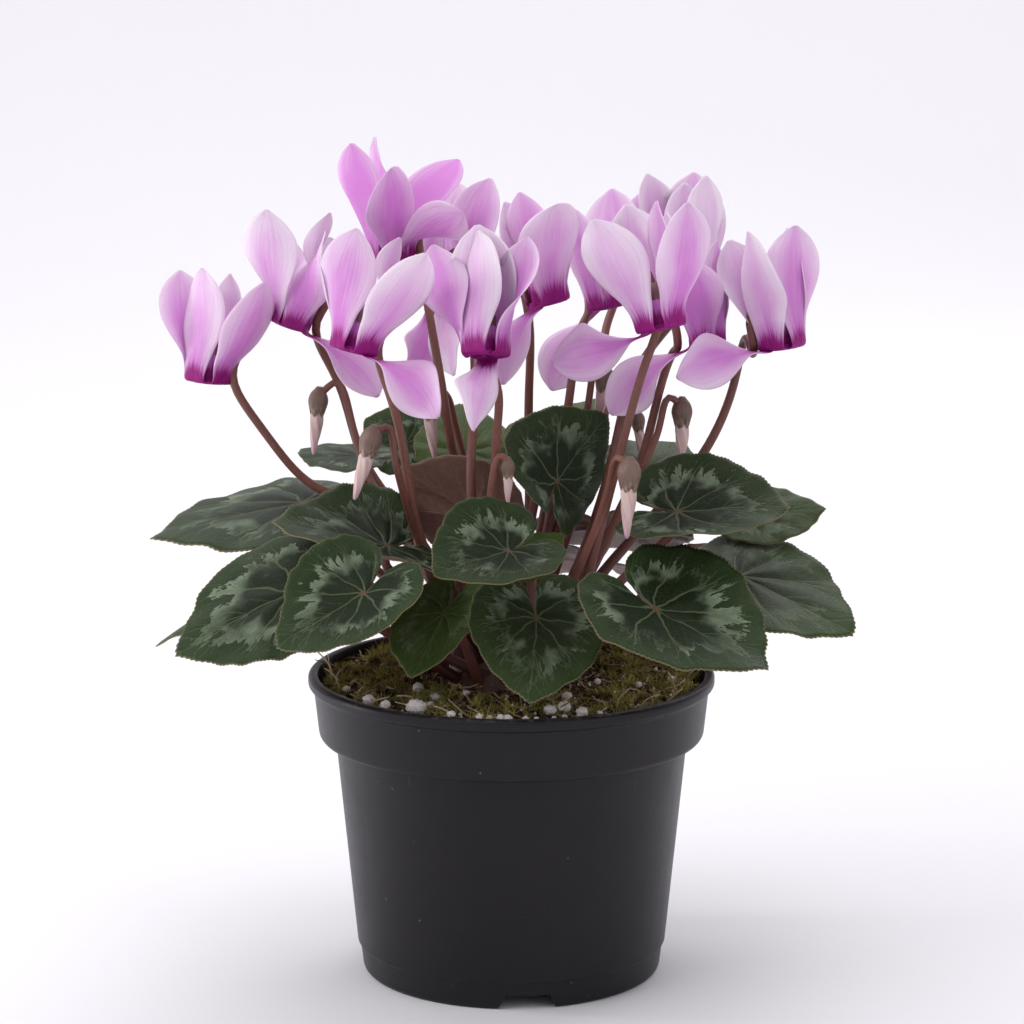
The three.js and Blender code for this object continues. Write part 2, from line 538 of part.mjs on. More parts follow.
// A bloom: the throat, hollowed from below, with the calyx on top, its five petals and its stalk's hooked top
function corolla(bloom) {
  const axes = bloomAxes(bloom);
  const place = new THREE.Matrix4().makeBasis(axes.x, axes.y, axes.up).setPosition(vec(bloom.mouth));
  const rim = MOUTH_RADIUS - RIM_INSET;
  const throat = [
    [0, THROAT_DEPTH], [rim - 2.2, 0], [rim, 0], [rim - 1.1, TUBE_HEIGHT],
    [rim - 1.5, TUBE_HEIGHT + 2], [1.1, CALYX_TOP], [0, CALYX_TOP],
  ];
  return mainBody(wasm.Manifold.union([
    stalk(hookPath(bloom), FLOWER_STALK_RADIUS, FLOWER_STALK_RADIUS, HOOK_STEPS, STALK_SIDES),
    solidOf(turned(throat, THROAT_SIDES).applyMatrix4(place)),
    ...bloom.petals.map((shape) => petal(bloom, shape)),
  ]));
}

// A place beside the bloom's axis, on the side on which the stalk comes down
function beside(bloom, out, up) {
  const axes = bloomAxes(bloom);
  return vec(bloom.mouth).addScaledVector(around(axes, bloom.stalkSide), out).addScaledVector(axes.up, up);
}

// Where the hook meets the stalk below it, and the way down from there, half turned to the stalk's first bend
function hookJoint(bloom) {
  const joint = beside(bloom, HOOK_REACH, HOOK_FOOT);
  const down = vec(bloom.via[0]).sub(joint).normalize().sub(bloomAxes(bloom).up).normalize();
  return { joint, down };
}

// The hook, from the end of the stalk below it up and over into the calyx
function hookPath(bloom) {
  const { joint, down } = hookJoint(bloom);
  return [
    joint,
    joint.clone().addScaledVector(down, -HOOK_LEAD),
    beside(bloom, HOOK_REACH, TUBE_HEIGHT),
    beside(bloom, HOOK_REACH / 2, HOOK_TOP),
    beside(bloom, 0, CALYX_TOP - 1),
  ];
}

// The flower stalk from the crown to the foot of its hook
function flowerStalk(bloom, root) {
  const { joint, down } = hookJoint(bloom);
  const top = [HOOK_LEAD, CLEARANCE].map((reach) => joint.clone().addScaledVector(down, reach));
  const path = [root, ...bloom.via.slice().reverse().map(vec), ...top];
  return stalk(path, STALK_ROOT_RADIUS, FLOWER_STALK_RADIUS, FLOWER_STALK_STEPS, STALK_SIDES);
}

// The frame of a nodding bud, with +Z along the way it points
function budPlace(bud) {
  const down = vec(bud.points).normalize();
  const x = new THREE.Vector3(0, 1, 0).cross(down).normalize();
  return new THREE.Matrix4().makeBasis(x, down.clone().cross(x), down).setPosition(vec(bud.neck));
}

// The furled petals of a bud, as a spindle below its sepals
function budPetals(bud) {
  const [length, radius] = [BUD_LENGTH * bud.size, BUD_RADIUS * bud.size];
  const profile = [
    [0, CLEARANCE], [radius * 0.95, CLEARANCE], [radius, length * 0.28],
    [radius * 0.5, length * 0.82], [0, length],
  ];
  return solidOf(turned(profile, BUD_SIDES).applyMatrix4(budPlace(bud)));
}

// The bud's stalk, over its bend and into the cap of sepals
function budStalk(bud, root) {
  const [length, radius] = [SEPAL_LENGTH * bud.size, SEPAL_RADIUS * bud.size];
  const profile = [
    [0, -length], [radius * 0.3, -length], [radius, -length * 0.4], [radius * 0.85, 0], [0, 0],
  ];
  const place = budPlace(bud);
  const cap = solidOf(turned(profile, SEPAL_SIDES).applyMatrix4(place));
  const inside = new THREE.Vector3(0, 0, -length * 0.7).applyMatrix4(place);
  const path = [root, ...bud.via.slice().reverse().map(vec), vec(bud.bend), inside];
  return stalk(path, STALK_ROOT_RADIUS, BUD_STALK_RADIUS, BUD_STALK_STEPS, STALK_SIDES).add(cap);
}

// The tuber's flattened round outline, or one that lies outside it by a clearance
function tuberProfile(grow) {
  return Array.from({ length: TUBER_RINGS }, (_, i) => {
    const angle = Math.PI * (i / (TUBER_RINGS - 1) - 0.5);
    const height = TUBER_CENTRE_HEIGHT + (TUBER_HALF_HEIGHT + grow) * Math.sin(angle);
    return [(TUBER_RADIUS + grow) * Math.cos(angle), height];
  });
}

// The stalks that start on one ring of the crown, made by their function for the things that they carry
function stalksOnRing(ring, things, make) {
  const towards = things.map((thing) => vec(thing.via?.at(-1) ?? thing.stalk));
  const roots = crownRoots(towards, ring);
  return things.map((thing, i) => make(thing, roots[i]));
}

// The tuber with every leaf stalk, flower stalk and bud stalk that grows from it
function tuberAndStalks() {
  return mainBody(
    wasm.Manifold.union([
      solidOf(turned(tuberProfile(0), TUBER_SIDES)),
      ...LEAF_RINGS.flatMap((ring, turn) => {
        const leaves = LEAVES.filter((_, i) => i % LEAF_RINGS.length === turn);
        return stalksOnRing(ring, leaves, leafStalk);
      }),
      ...stalksOnRing(BUD_RING, BUDS, budStalk),
      ...stalksOnRing(FLOWER_RING, BLOOMS, flowerStalk),
    ]),
  );
}

const FLOOR_TOP = CHANNEL_HEIGHT + POT_WALL;
const COLLAR_BASE = POT_HEIGHT - COLLAR_HEIGHT;

// The pot: foot band, tapering body, collar with its rolled lip, drainage notches and holes
function pot() {
  const foot = [
    [0, 0], [CHANNEL_INNER_RADIUS - 2, 0], [CHANNEL_INNER_RADIUS, CHANNEL_HEIGHT],
    [CHANNEL_OUTER_RADIUS, CHANNEL_HEIGHT], [CHANNEL_OUTER_RADIUS + 1.5, 0],
    [FOOT_RADIUS - POT_EDGE, 0], [FOOT_RADIUS, 1],
    [FOOT_RADIUS + FOOT_BAND_FLARE, FOOT_BAND_HEIGHT - POT_EASE],
  ];
  const outside = [
    [BODY_FOOT_RADIUS, FOOT_BAND_HEIGHT], [BODY_TOP_RADIUS, COLLAR_BASE],
    [COLLAR_FOOT_RADIUS - POT_EDGE, COLLAR_BASE], [COLLAR_FOOT_RADIUS, COLLAR_BASE + 1.2],
    [COLLAR_TOP_RADIUS, POT_HEIGHT - 4], [POT_LIP_RADIUS, POT_HEIGHT - 3.2],
    [POT_LIP_RADIUS, POT_HEIGHT - POT_EDGE], [POT_LIP_RADIUS - POT_EDGE, POT_HEIGHT],
  ];
  const inside = [
    [COLLAR_TOP_RADIUS - POT_WALL + POT_EASE, POT_HEIGHT],
    [COLLAR_FOOT_RADIUS - POT_WALL, COLLAR_BASE + POT_WALL + POT_EASE],
    [BODY_TOP_RADIUS - POT_WALL, COLLAR_BASE + POT_WALL], [BODY_FOOT_RADIUS - POT_WALL, FOOT_BAND_HEIGHT],
    [BODY_FOOT_RADIUS - POT_WALL - 1, FLOOR_TOP], [CHANNEL_INNER_RADIUS - POT_WALL, FLOOR_TOP],
    [CHANNEL_INNER_RADIUS - POT_WALL - 2, POT_WALL], [0, POT_WALL],
  ];
  const cuts = [];
  for (let i = 0; i < NOTCH_COUNT; i++) {
    const outline = new THREE.Shape([
      new THREE.Vector2(-NOTCH_WIDTH / 2 - NOTCH_FLARE, -1),
      new THREE.Vector2(NOTCH_WIDTH / 2 + NOTCH_FLARE, -1),
      new THREE.Vector2(NOTCH_WIDTH / 2, NOTCH_HEIGHT),
      new THREE.Vector2(-NOTCH_WIDTH / 2, NOTCH_HEIGHT),
    ]);
    const notch = new THREE.ExtrudeGeometry(outline, { depth: CUT_DEPTH, bevelEnabled: false });
    notch.rotateX(Math.PI / 2).rotateZ(Math.PI).translate(0, CHANNEL_OUTER_RADIUS - 2, 0);
    cuts.push(solidOf(notch.rotateZ(radians(NOTCH_AZIMUTH - 90 + (360 * i) / NOTCH_COUNT))));
  }
  for (let i = 0; i < DRAIN_COUNT; i++) {
    const drain = new THREE.CylinderGeometry(DRAIN_RADIUS, DRAIN_RADIUS, CUT_DEPTH, DRAIN_SIDES);
    drain.rotateX(Math.PI / 2).translate(DRAIN_CIRCLE, 0, CHANNEL_HEIGHT);
    cuts.push(solidOf(drain.rotateZ(radians((360 * (i + 0.5)) / DRAIN_COUNT))));
  }
  const body = solidOf(turned([...foot, ...outside, ...inside], POT_SIDES));
  return body.subtract(wasm.Manifold.union(cuts));
}

// The height of the soil's mossy surface above the floor
function soilHeight(x, y) {
  const r = Math.hypot(x, y) / (COLLAR_FOOT_RADIUS - POT_WALL);
  const bumps = Math.sin(0.31 * x + 1.3) * Math.cos(0.27 * y - 0.4) + 0.6 * Math.sin(0.52 * x - 0.47 * y);
  return SOIL_EDGE_HEIGHT + SOIL_CROWN_RISE * (1 - r * r) + SOIL_BUMP * bumps * (1 - r ** 6);
}

// The soil that fills the pot, hollowed for the tuber, with grains of perlite set in its surface
function soil() {
  const gap = POT_WALL + CLEARANCE;
  const below = [
    [0, POT_WALL + CLEARANCE], [CHANNEL_INNER_RADIUS - gap - 2, POT_WALL + CLEARANCE],
    [CHANNEL_INNER_RADIUS - gap, FLOOR_TOP + CLEARANCE], [BODY_FOOT_RADIUS - gap - 1, FLOOR_TOP + CLEARANCE],
    [BODY_FOOT_RADIUS - gap, FOOT_BAND_HEIGHT + CLEARANCE], [BODY_TOP_RADIUS - gap, COLLAR_BASE + gap],
    [COLLAR_FOOT_RADIUS - gap, COLLAR_BASE + gap + POT_EASE],
  ];
  const surface = [COLLAR_FOOT_RADIUS - gap + POT_EASE, ...SOIL_RINGS, 0].map((r) => [r, SOIL_EDGE_HEIGHT]);
  const body = turned([...below, ...surface], POT_SIDES);
  const place = body.getAttribute("position");
  for (let i = 0; i < place.count; i++)
    if (place.getZ(i) > SOIL_EDGE_HEIGHT - 0.01) place.setZ(i, soilHeight(place.getX(i), place.getY(i)));
  const random = dice(PERLITE_SEED);
  const grains = [];
  for (let i = 0; i < PERLITE_COUNT; i++) {
    const angle = 2 * Math.PI * random();
    const out = THREE.MathUtils.lerp(...PERLITE_REACH, random());
    const size = THREE.MathUtils.lerp(...PERLITE_SIZES, random() ** 2);
    const [x, y] = [out * Math.cos(angle), out * Math.sin(angle)];
    const grain = new THREE.OctahedronGeometry(size, 0).rotateX(3 * random()).rotateY(3 * random());
    grains.push(solidOf(grain.translate(x, y, soilHeight(x, y) + PERLITE_RISE * size)));
  }
  const hollow = solidOf(turned(tuberProfile(CLEARANCE), TUBER_SIDES));
  const [dishTop, dishFoot] = [TUBER_RADIUS + DISH_FLARE, TUBER_RADIUS + CLEARANCE];
  const dish = new THREE.CylinderGeometry(dishTop, dishFoot, 2 * DISH_DEPTH, TUBER_SIDES);
  const opening = solidOf(dish.rotateX(Math.PI / 2).translate(0, 0, TUBER_CENTRE_HEIGHT + DISH_DEPTH));
  return mainBody(wasm.Manifold.union([solidOf(body), ...grains]).subtract(hollow).subtract(opening));
}

const materials = {
  pot: new THREE.MeshStandardMaterial({ color: 0x1b1a1e, roughness: 0.5, metalness: 0 }),
  soil: new THREE.MeshStandardMaterial({ color: 0x2e2a16, roughness: 1, metalness: 0 }),
  stalk: new THREE.MeshStandardMaterial({ color: 0x6a3a30, roughness: 0.6, metalness: 0 }),
  leaf: new THREE.MeshStandardMaterial({ color: 0x2b4a33, roughness: 0.55, metalness: 0 }),
  petal: new THREE.MeshStandardMaterial({ color: 0xd9a5dd, roughness: 0.5, metalness: 0 }),
  bud: new THREE.MeshStandardMaterial({ color: 0xe6b9bd, roughness: 0.5, metalness: 0 }),
};

const plant = new THREE.Group();

function addPiece(name, solid, material) {
  const mesh = new THREE.Mesh(geometryOf(solid), material);
  mesh.name = name;
  plant.add(mesh);
}

addPiece("pot", pot(), materials.pot);
addPiece("soil", soil(), materials.soil);
addPiece("tuber_and_stalks", tuberAndStalks(), materials.stalk);
for (const leaf of LEAVES) addPiece(leaf.name, blade(leaf), materials.leaf);
for (const bloom of BLOOMS) addPiece(bloom.name, corolla(bloom), materials.petal);
for (const bud of BUDS) addPiece(bud.name, budPetals(bud), materials.bud);

export default plant;
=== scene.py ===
import math

import bmesh
import bpy
import numpy as np
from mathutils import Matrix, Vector


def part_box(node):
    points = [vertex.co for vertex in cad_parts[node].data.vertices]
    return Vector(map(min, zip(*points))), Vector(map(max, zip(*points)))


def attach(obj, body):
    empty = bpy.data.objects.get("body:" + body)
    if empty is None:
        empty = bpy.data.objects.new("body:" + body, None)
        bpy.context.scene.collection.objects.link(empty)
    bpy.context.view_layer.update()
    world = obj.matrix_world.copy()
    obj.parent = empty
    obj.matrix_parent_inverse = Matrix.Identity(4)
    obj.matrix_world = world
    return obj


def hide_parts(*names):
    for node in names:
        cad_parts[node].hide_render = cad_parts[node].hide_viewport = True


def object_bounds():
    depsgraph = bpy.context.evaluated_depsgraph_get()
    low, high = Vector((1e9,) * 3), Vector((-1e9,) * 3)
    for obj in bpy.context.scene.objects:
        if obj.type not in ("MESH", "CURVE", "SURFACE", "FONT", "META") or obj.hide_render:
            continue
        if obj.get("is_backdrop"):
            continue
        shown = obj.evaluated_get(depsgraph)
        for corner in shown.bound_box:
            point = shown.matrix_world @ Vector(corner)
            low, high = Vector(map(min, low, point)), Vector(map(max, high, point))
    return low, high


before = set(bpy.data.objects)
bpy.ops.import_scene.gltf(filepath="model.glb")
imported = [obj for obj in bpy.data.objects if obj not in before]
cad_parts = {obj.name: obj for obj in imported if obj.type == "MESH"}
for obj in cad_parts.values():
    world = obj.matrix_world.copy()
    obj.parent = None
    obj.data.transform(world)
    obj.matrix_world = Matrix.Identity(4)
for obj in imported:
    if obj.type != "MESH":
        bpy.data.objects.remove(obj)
CAD_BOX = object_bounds()
MM = 0.001

# Pot
POT_LOW, POT_HIGH = (np.array(corner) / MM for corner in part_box("pot"))
POT_HEIGHT = POT_HIGH[2]
POT_WALL = 1.6
POT_EASE = 0.4
POT_SIDES = 160
POT_ROUNDING = 0.7
WORN_EDGE = 0.25
LIP_RADIUS = (POT_HIGH[0] - POT_LOW[0]) / 2
LIP_DEPTH = 3.2
COLLAR_HEIGHT = 19
COLLAR_TOP_RADIUS = LIP_RADIUS - 1.6
COLLAR_FOOT_RADIUS = LIP_RADIUS - 3.1
BODY_TOP_RADIUS = 52.1
BODY_FOOT_RADIUS = 45.9
FOOT_BAND_HEIGHT = 8.5
FOOT_BAND_FLARE = 0.9
FOOT_RADIUS = 44.3
FLOOR_FILLET = 1
CHANNEL_HEIGHT = 4.5
CHANNEL_INNER_RADIUS = 16
CHANNEL_INNER_SLOPE = 2
CHANNEL_OUTER_RADIUS = 39.5
CHANNEL_OUTER_SLOPE = 1.5
NOTCH_COUNT = 3
NOTCH_WIDTH = 13
NOTCH_FLARE = 2.5
NOTCH_AZIMUTH = -84
DRAIN_COUNT = 6
DRAIN_RADIUS = 3.5
DRAIN_CIRCLE = 28
DRAIN_SIDES = 32

# Soil
SOIL_RADIUS = COLLAR_FOOT_RADIUS - POT_WALL + 0.35
SOIL_RINGS = 90
SOIL_SIDES = 220
SOIL_EDGE_HEIGHT = 86.5
SOIL_CROWN_RISE = 3
SOIL_BUMP = 1.1
SOIL_DIP = 2
SOIL_DIP_RADIUS = 30
SOIL_DIP_FADE = 14
LUMP_WAVES = 7
# Height and size of the lumps
SOIL_LUMPS = ((0.8, 5), (0.5, 2.3))
CLEARANCE = 0.3
MOSS_FREE_RADIUS = 24
MOSS_FADE = 14
MOSS_SWELL = 1.6
LITTER_FREE_RADIUS = 12
GRAIN_SHADE = 0.9
GRAIN_RADIUS_SHARE = 0.58
GRAIN_LIFT = 1.3
GRAIN_LIFT_SHARE = 0.3
STRAW_STEPS = 12
STRAW_RADII = (0.42, 0.16)
STRAW_FORK_STEPS = 6
STRAW_FORK_RADII = (0.22, 0.1)
STRAW_SIDES = 5

# Tuber and stalks
TUBER_RADIUS = 21
TUBER_HALF_HEIGHT = 11
TUBER_CENTRE_HEIGHT = 84
TUBER_STEPS = 24
TUBER_SIDES = 64
LEAF_RINGS = (16.5, 13)
BUD_RING = 9.5
FLOWER_RING = 6
STALK_ROOT_DEPTH = 2.5
STALK_ROOT_RADIUS = 1.75
LEAF_STALK_RADIUS = 1.35
FLOWER_STALK_RADIUS = 1.25
BUD_STALK_RADIUS = 1.05
STALK_STEPS = 56
STALK_SIDES = 12
STALK_EASING = 16
STALK_RISE_SHARE = 0.4
STALK_RISE_LIFT = 0.1
HOOK_SHARE = 0.7
HOOK_FADE = 0.12
HOOK_STIFFNESS = 0.97
STALK_TAPER = 1.6
CURVE_STEPS = 24

# Leaves
SINUS_ANGLE = 172
HEART = (
    (0, 1), (12, 0.91), (30, 0.82), (60, 0.755), (90, 0.71), (120, 0.66), (145, 0.6), (161, 0.5), (172, 0.36),
)
BLADE_RAYS = 240
BLADE_RINGS = 15
BLADE_THICKNESS = 0.8
BLADE_EDGE_THICKNESS = 0.35
TOOTH_DEPTH = 0.014
RIB_HEIGHT = 0.35
BLADE_DISH = 0.05
QUILT_HEIGHT = 0.044
VEIN_DEPTH = 0.007
# Height, count and share of the leaf's seed of each wave in the outline and in the edge's rise
OUTLINE_WAVES = ((0.012, 9, 1), (0.008, 23, 2))
EDGE_WAVES = ((0.012, 7, 1), (0.007, 15, 3))
VEIN_PERIOD = math.radians(45)
VEIN_CURVE = 0.3
VEIN_FORK = 0.36
VEIN_FORK_SPREAD = 0.5
VEIN_GROOVE = 0.035
RUNG_GAP = 0.19

# Blooms and buds
PETAL_LENGTH = 36
PETAL_WIDTH = 17.5
PETAL_OUTLINE = (
    (0, 0.44), (0.14, 0.43), (0.3, 0.6), (0.48, 0.9), (0.63, 1), (0.78, 0.88), (0.91, 0.54), (1, 0.08),
)
PETAL_CUP = 0.22
PETAL_START_TILT = -70
PETAL_BEND_SHARE = 0.12
PETAL_FOOT_LIFT = 86
PETAL_FOOT_SHARE = 0.1
PETAL_SPREAD_SHARE = 0.22
PETAL_STEPS = 44
PETAL_FINE_STEPS = 16
PETAL_COLUMNS = 14
PETAL_THICKNESS = 0.45
PETAL_TIP_THINNING = 0.35
PETAL_EDGE_THINNING = 0.45
PETAL_INSET = 1.1
PETAL_RUFFLE = 0.35
PETAL_PLEAT = 0.1
PETAL_CREASE = 0.3
PETAL_LIP = 0.1
MOUTH_RADIUS = 4.8
TUBE_HEIGHT = 9
THROAT = (
    (0.01, TUBE_HEIGHT - 0.6), (2, TUBE_HEIGHT - 1), (2.7, TUBE_HEIGHT - 3), (3.2, 2.5), (3.4, -0.3),
    (3.9, -0.8), (4.4, -0.3), (4.3, 2.5), (3.7, TUBE_HEIGHT - 2), (2.7, TUBE_HEIGHT + 0.4),
    (1.1, TUBE_HEIGHT + 1), (0.01, TUBE_HEIGHT + 1),
)
THROAT_ROUNDING = 0.5
THROAT_SIDES = 40
PISTIL_RADII = (1.6, 1.4, 1, 0.5, 0.35, 0.45)
PISTIL_SIDES = 10
HOOK_REACH = 8
HOOK_FOOT = 0.5
HOOK_LEAD = 3.5
HOOK_TOP = 16
CALYX_TOP = TUBE_HEIGHT + 4
CALYX_LENGTH = 6.5
CALYX_RADIUS = 3.3
CALYX_CLOSING = 0.02
CALYX_TONE = 0.6
BUD_LENGTH = 14
BUD_RADIUS = 1.9
BUD_SUNK = 1.2
BUD_STEPS = 40
BUD_SIDES = 30
BUD_TWIST = 1.8
BUD_FOLD_DEPTH = 0.1
KNOB_STEPS = 10
KNOB_SIDES = 14
BUD_OUTLINE = ((0, 0.9), (0.2, 1), (0.45, 0.88), (0.7, 0.62), (0.88, 0.4), (0.97, 0.26), (1, 0.1))
SEPAL_COUNT = 5
SEPAL_LENGTH = 7
SEPAL_RADIUS = 2.8
SEPAL_OVERHANG = 1.5
SEPAL_CLOSING = 0.36
SEPAL_THICKNESS = 0.28
SEPAL_STEPS = 14
SEPAL_COLUMNS = 7

# Studio
CAMERA_PLACE = (0.17, -1040, 342.6)
CAMERA_PITCH = 11.147
CAMERA_LENS = 127.2
CAMERA_REACH = 20
SWEEP_HALF_WIDTH = 6000
SWEEP_FRONT = -2600
SWEEP_BEND_START = 1400
SWEEP_BEND_RADIUS = 900
SWEEP_TOP = 3200
ROOM_LIGHT = (0.97, 0.96, 1, 1)
ROOM_STRENGTH = 0.54
# Each lamp's place, the spot that it points at and its size, in metres, and its watts
LIGHTS = {
    "key": ((-1.15, -0.7, 1.2), (0, 0, 0.12), (1.2, 1.2), 11),
    "fill": ((1.2, -0.9, 0.7), (0, 0, 0.12), (1, 1), 4),
    "top": ((0.1, 0.1, 1.5), (0, 0, 0.1), (1.2, 1.2), 6),
    "rear": ((0.5, 1.1, 0.9), (0, 0, 0.18), (0.9, 0.6), 3),
    "strip": ((-0.75, 0.05, 0.22), (0, 0, 0.1), (0.1, 0.6), 2.2),
    "backdrop": ((0, 2, 2.4), (0, 2.2, 0.2), (4, 1.6), 56),
}


def leaf(name, stalk, tip, face, broad=0.92, bow=0.08, hang=(0.12, 0.12), lobes=0, turn=0, via=(),
         silver=0.9, fresh=0):
    """A leaf: where its stalk meets the blade, its tip, the way it faces, and its own form and markings."""
    return dict(locals())


def bloom(name, mouth, lean, side, depth, pale, via, petals):
    """A bloom: its mouth's centre, its lean, its stalk's side and route, and how deep or pale its colour is.

    Its petals are (azimuth, lift, twist, size, curl).
    """
    return dict(locals())


def bud(name, neck, bend, via, points, size):
    """A bud: the middle of its sepals' edge, its stalk's bend and route, the way it points, and its size."""
    return dict(locals())


LEAVES = (
    leaf("leaf_left_high", (-62, 17, 137), (-106, 3, 130), (-0.14, -0.17, 0.98), hang=(0.18, 0.21),
         lobes=0.5),
    leaf("leaf_left_low", (-62, -35, 121.5), (-95, -44, 105.5), (-0.29, -0.56, 0.78), hang=(0, 0.16),
         lobes=0.3, turn=-34, via=((-38, -13, 106),)),
    leaf("leaf_front_left", (-41, -56, 125.5), (-65, -64, 111.5), (-0.29, -0.52, 0.8), broad=0.98, bow=0.04,
         hang=(-0.2, -0.5), lobes=-0.1, turn=21, via=((-41, -20, 110),)),
    leaf("leaf_left_middle", (-36, -18, 131), (-69, -22, 139), (0.25, -0.18, 0.95), broad=1, bow=0.04,
         hang=(-0.32, -0.5), lobes=0.27, turn=34, via=((-25, -4, 112),)),
    leaf("leaf_centre", (-1, -42, 134.6), (-22, -57, 131), (0.12, -0.39, 0.91), broad=0.98, bow=0.05,
         hang=(-0.26, -0.5), lobes=-0.34, via=((-4, -18, 121),)),
    leaf("leaf_front_low", (7, -41, 115), (5, -64, 96), (0.15, -0.64, 0.75), bow=0.05, hang=(-0.15, -0.09),
         turn=13, silver=0.8, fresh=0.1),
    leaf("leaf_front_small", (-19, -26, 113), (-28, -43, 98), (-0.47, -0.44, 0.77), bow=0.05,
         hang=(-0.18, -0.14), lobes=-0.15, turn=-9, silver=0.35, fresh=0.55),
    leaf("leaf_front_right", (40.5, -48, 119), (71, -65, 105), (0.27, -0.35, 0.89), broad=0.96, bow=0.02,
         hang=(-0.5, 0.05), lobes=-0.31, turn=-9),
    leaf("leaf_right_high", (48, -20, 141.5), (80, -24, 144.5), (-0.15, -0.43, 0.89), broad=1, bow=0.07,
         hang=(-0.18, -0.5), turn=-12),
    leaf("leaf_right_low", (66, -18, 122), (98, -35, 109), (0.24, -0.36, 0.9), bow=0.06, hang=(-0.05, 0.04),
         lobes=0.5, silver=0.4, fresh=0.15),
    leaf("leaf_right_far", (71, 10, 135), (93, 13, 136), (0.04, -0.49, 0.87), bow=0.06, hang=(0.25, -0.04),
         turn=-18, silver=0.4, fresh=0.3),
    leaf("leaf_middle_high", (13, -8, 148.5), (28, 10, 165), (0.68, -0.7, 0.18), bow=0.05, hang=(0.6, 0.55),
         lobes=-0.9, turn=20, via=((5, -1, 122),), silver=0.75),
    leaf("leaf_middle_back", (12, 28, 157), (24, 48, 164), (0, 0.3, 1), hang=(-0.1, -0.1), silver=0.3,
         fresh=0.85),
    leaf("leaf_left_rear_high", (-45, 22, 150), (-64, 34, 151), (0, -0.1, 1), via=((-30, 22, 122),)),
    leaf("leaf_rear_left_top", (-32, 47, 150), (-45, 58, 156), (-0.37, -0.71, 0.59), broad=0.9, bow=0.06,
         hang=(0.13, 0.08), silver=0.8, fresh=0.1),
    leaf("leaf_left_under", (-76, -6, 117), (-104, -8, 100), (-0.4, 0.1, 1), silver=0.6, fresh=0.2),
    leaf("leaf_inner_left", (-11.3, 2, 137), (-33.3, 2, 151), (0.35, 0.9, 0.3), broad=0.94, bow=0.1,
         hang=(-0.05, 0.1)),
    leaf("leaf_rear_top", (-14, 32, 150), (-16, 52, 162), (0.1, -1, 0.7), silver=0.3, fresh=0.8),
    leaf("leaf_right_under", (64, 34, 118), (93, 46, 113), (0, 0.35, 1), broad=0.75),
    leaf("leaf_rear_right_top", (40, 24, 146), (54, 44, 150), (0, -0.6, 1), silver=0.5, fresh=0.3),
    leaf("leaf_heart_small", (5, -22, 128), (15, -19, 135), (0, -0.6, 1), silver=0.2, fresh=0.9),
    leaf("leaf_rear_left", (-34, 54, 124), (-54, 82, 112), (-0.4, 0.8, 1), via=((-24, 30, 112),)),
    leaf("leaf_rear_low", (2, 50, 114), (0, 84, 100), (0, 0.7, 1)),
    leaf("leaf_rear_right", (30, 46, 124), (46, 76, 110), (0.3, 0.9, 1)),
    leaf("leaf_right_rear_low", (50, 50, 106), (72, 74, 94), (0.5, 0.5, 1)),
    leaf("leaf_left_rear_low", (-58, 38, 120), (-82, 58, 108), (-0.5, 0.5, 1)),
)

